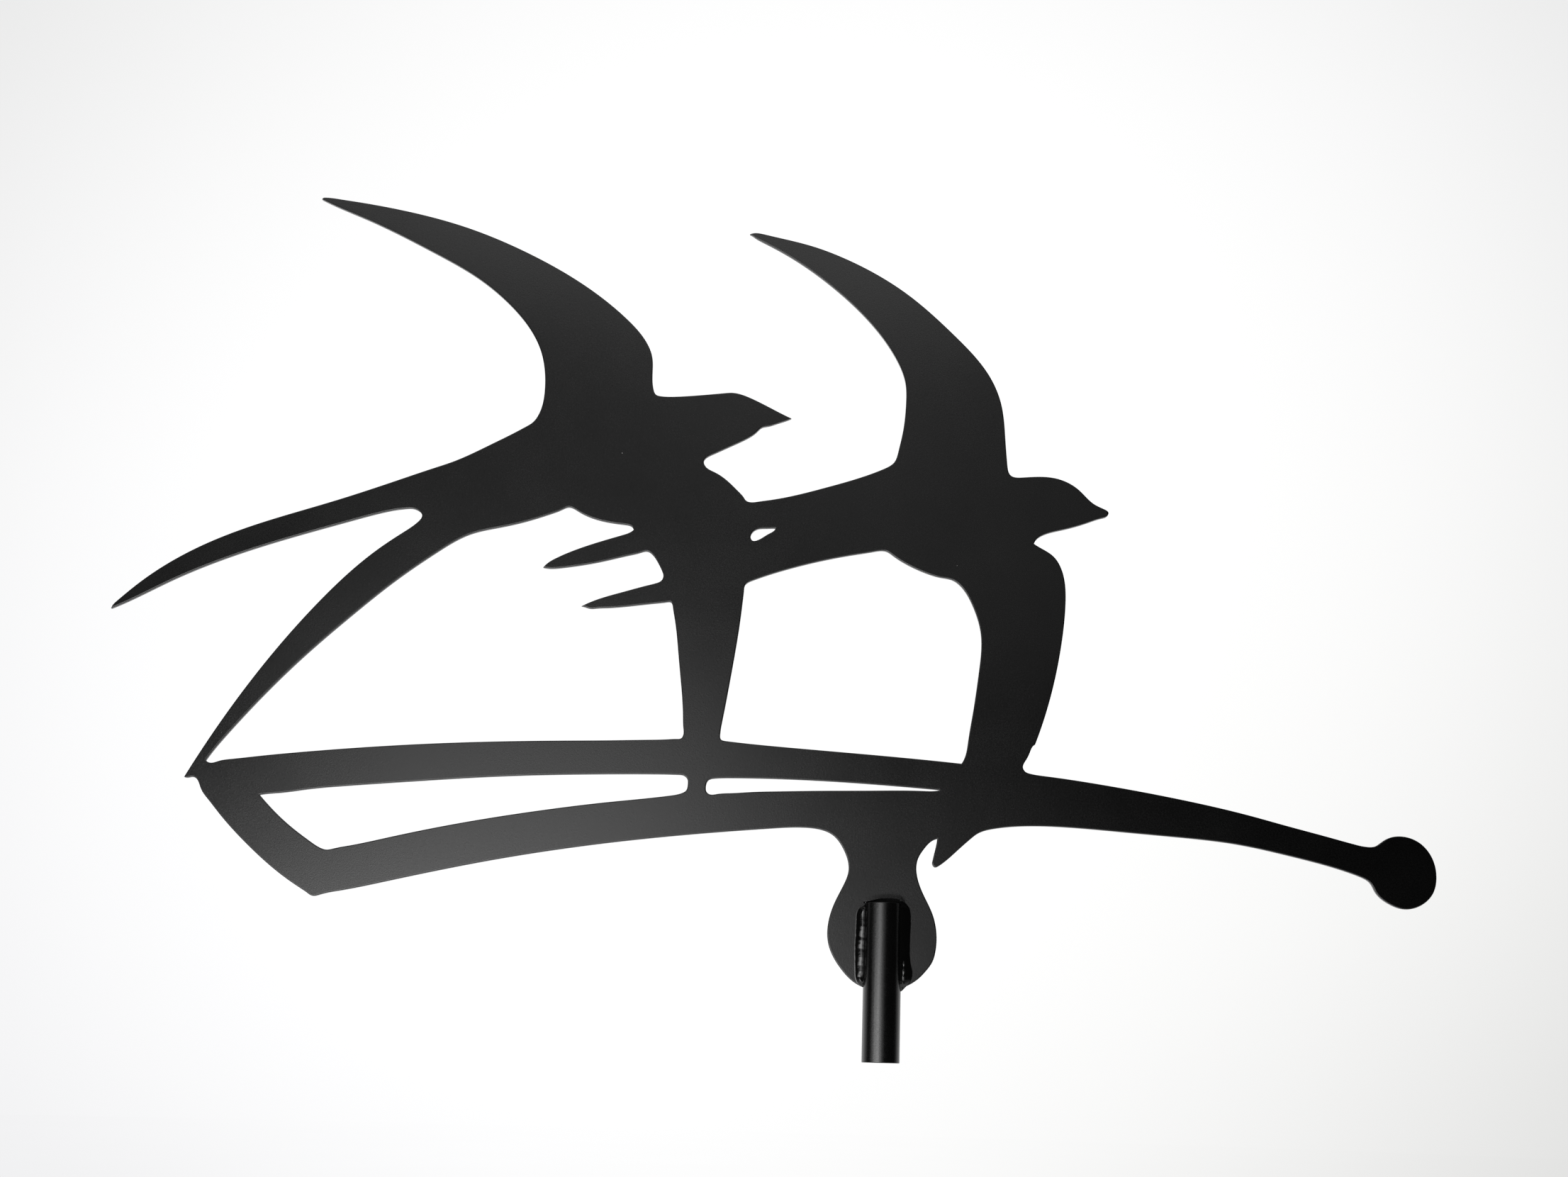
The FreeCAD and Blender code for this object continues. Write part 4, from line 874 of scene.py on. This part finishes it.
def panel(name, left, right, low, high, radiance, distance=0.90):
    """A soft panel that fills a range of azimuth and elevation, in strips where it is wide."""
    strips = max(1, math.ceil((right - left) / 40.0))
    wide = (right - left) / strips
    middle = 0.5 * (low + high)
    for k in range(strips):
        softbox("%s_%d" % (name, k + 1), left + wide * (k + 0.5), middle, distance,
                2 * distance * math.tan(math.radians(wide / 2)) * math.cos(math.radians(middle)),
                2 * distance * math.tan(math.radians((high - low) / 2)), radiance)


DIM, ABOVE = 0.018, 0.04
make_camera()
make_world()
panel("key", -46.5, -10.5, -28, -4, 3.60)
panel("key_column", -28.5, -1.5, -52, 12, 1.38)
panel("wide_low", -64.5, 7.5, -44, -4, 1.38)
panel("front", -37.5, 16.5, -20, 4, 0.44)
panel("overhead", -63, 27, 36, 60, 1.11)
panel("upper", -63, 27, 12, 60, 0.30)
panel("upper_front", -8, 6, 24, 36, 0.28)
panel("low_front", -32, 3, -2, 14, 0.36)


def make_floor():
    """A pale floor, far below the vane, that glows by itself for the camera only, with a painted falloff of light: a
    little brighter in the middle, a little darker at the lower right.
    """
    n, r, level = 96, 60.0, -1.9
    verts = [(0, 0, level)] + [(r * math.cos(2 * math.pi * k / n), r * math.sin(2 * math.pi * k / n), level) for k in range(n)]
    faces = [(0, 1 + k, 1 + (k + 1) % n) for k in range(n)]
    mesh = bpy.data.meshes.new("floor")
    mesh.from_pydata(verts, [], faces)
    mesh.update()
    floor = bpy.data.objects.new("floor", mesh)
    scene.collection.objects.link(floor)
    material, g = new_material("glowing_floor_painted_falloff")
    where = g.node("ShaderNodeTexCoord").outputs["Object"]
    way = g.node("ShaderNodeVectorMath", {0: where}, operation="NORMALIZE").outputs[0]
    parts = g.node("ShaderNodeSeparateXYZ", {0: way})
    tone = backdrop_painted_falloff(g, way, parts.outputs[0], parts.outputs[2])
    cloud = g.span(g.noise(where, 0.35, 2.0, 0.5), 0.3, 0.7, 0.0, 1.0)
    # the floor's own glow carries the painted falloff of light, with a faint random cloud in its tone
    floor_glow_painted_falloff = g.node("ShaderNodeEmission", {"Color": g.mix(g.math("MULTIPLY", cloud, 0.02), tone, grey(0.75)), "Strength": 1.0})
    g.node("ShaderNodeOutputMaterial", {"Surface": floor_glow_painted_falloff.outputs[0]})
    mesh.materials.append(material)
    floor.visible_diffuse = floor.visible_glossy = floor.visible_transmission = floor.visible_shadow = False


make_floor()
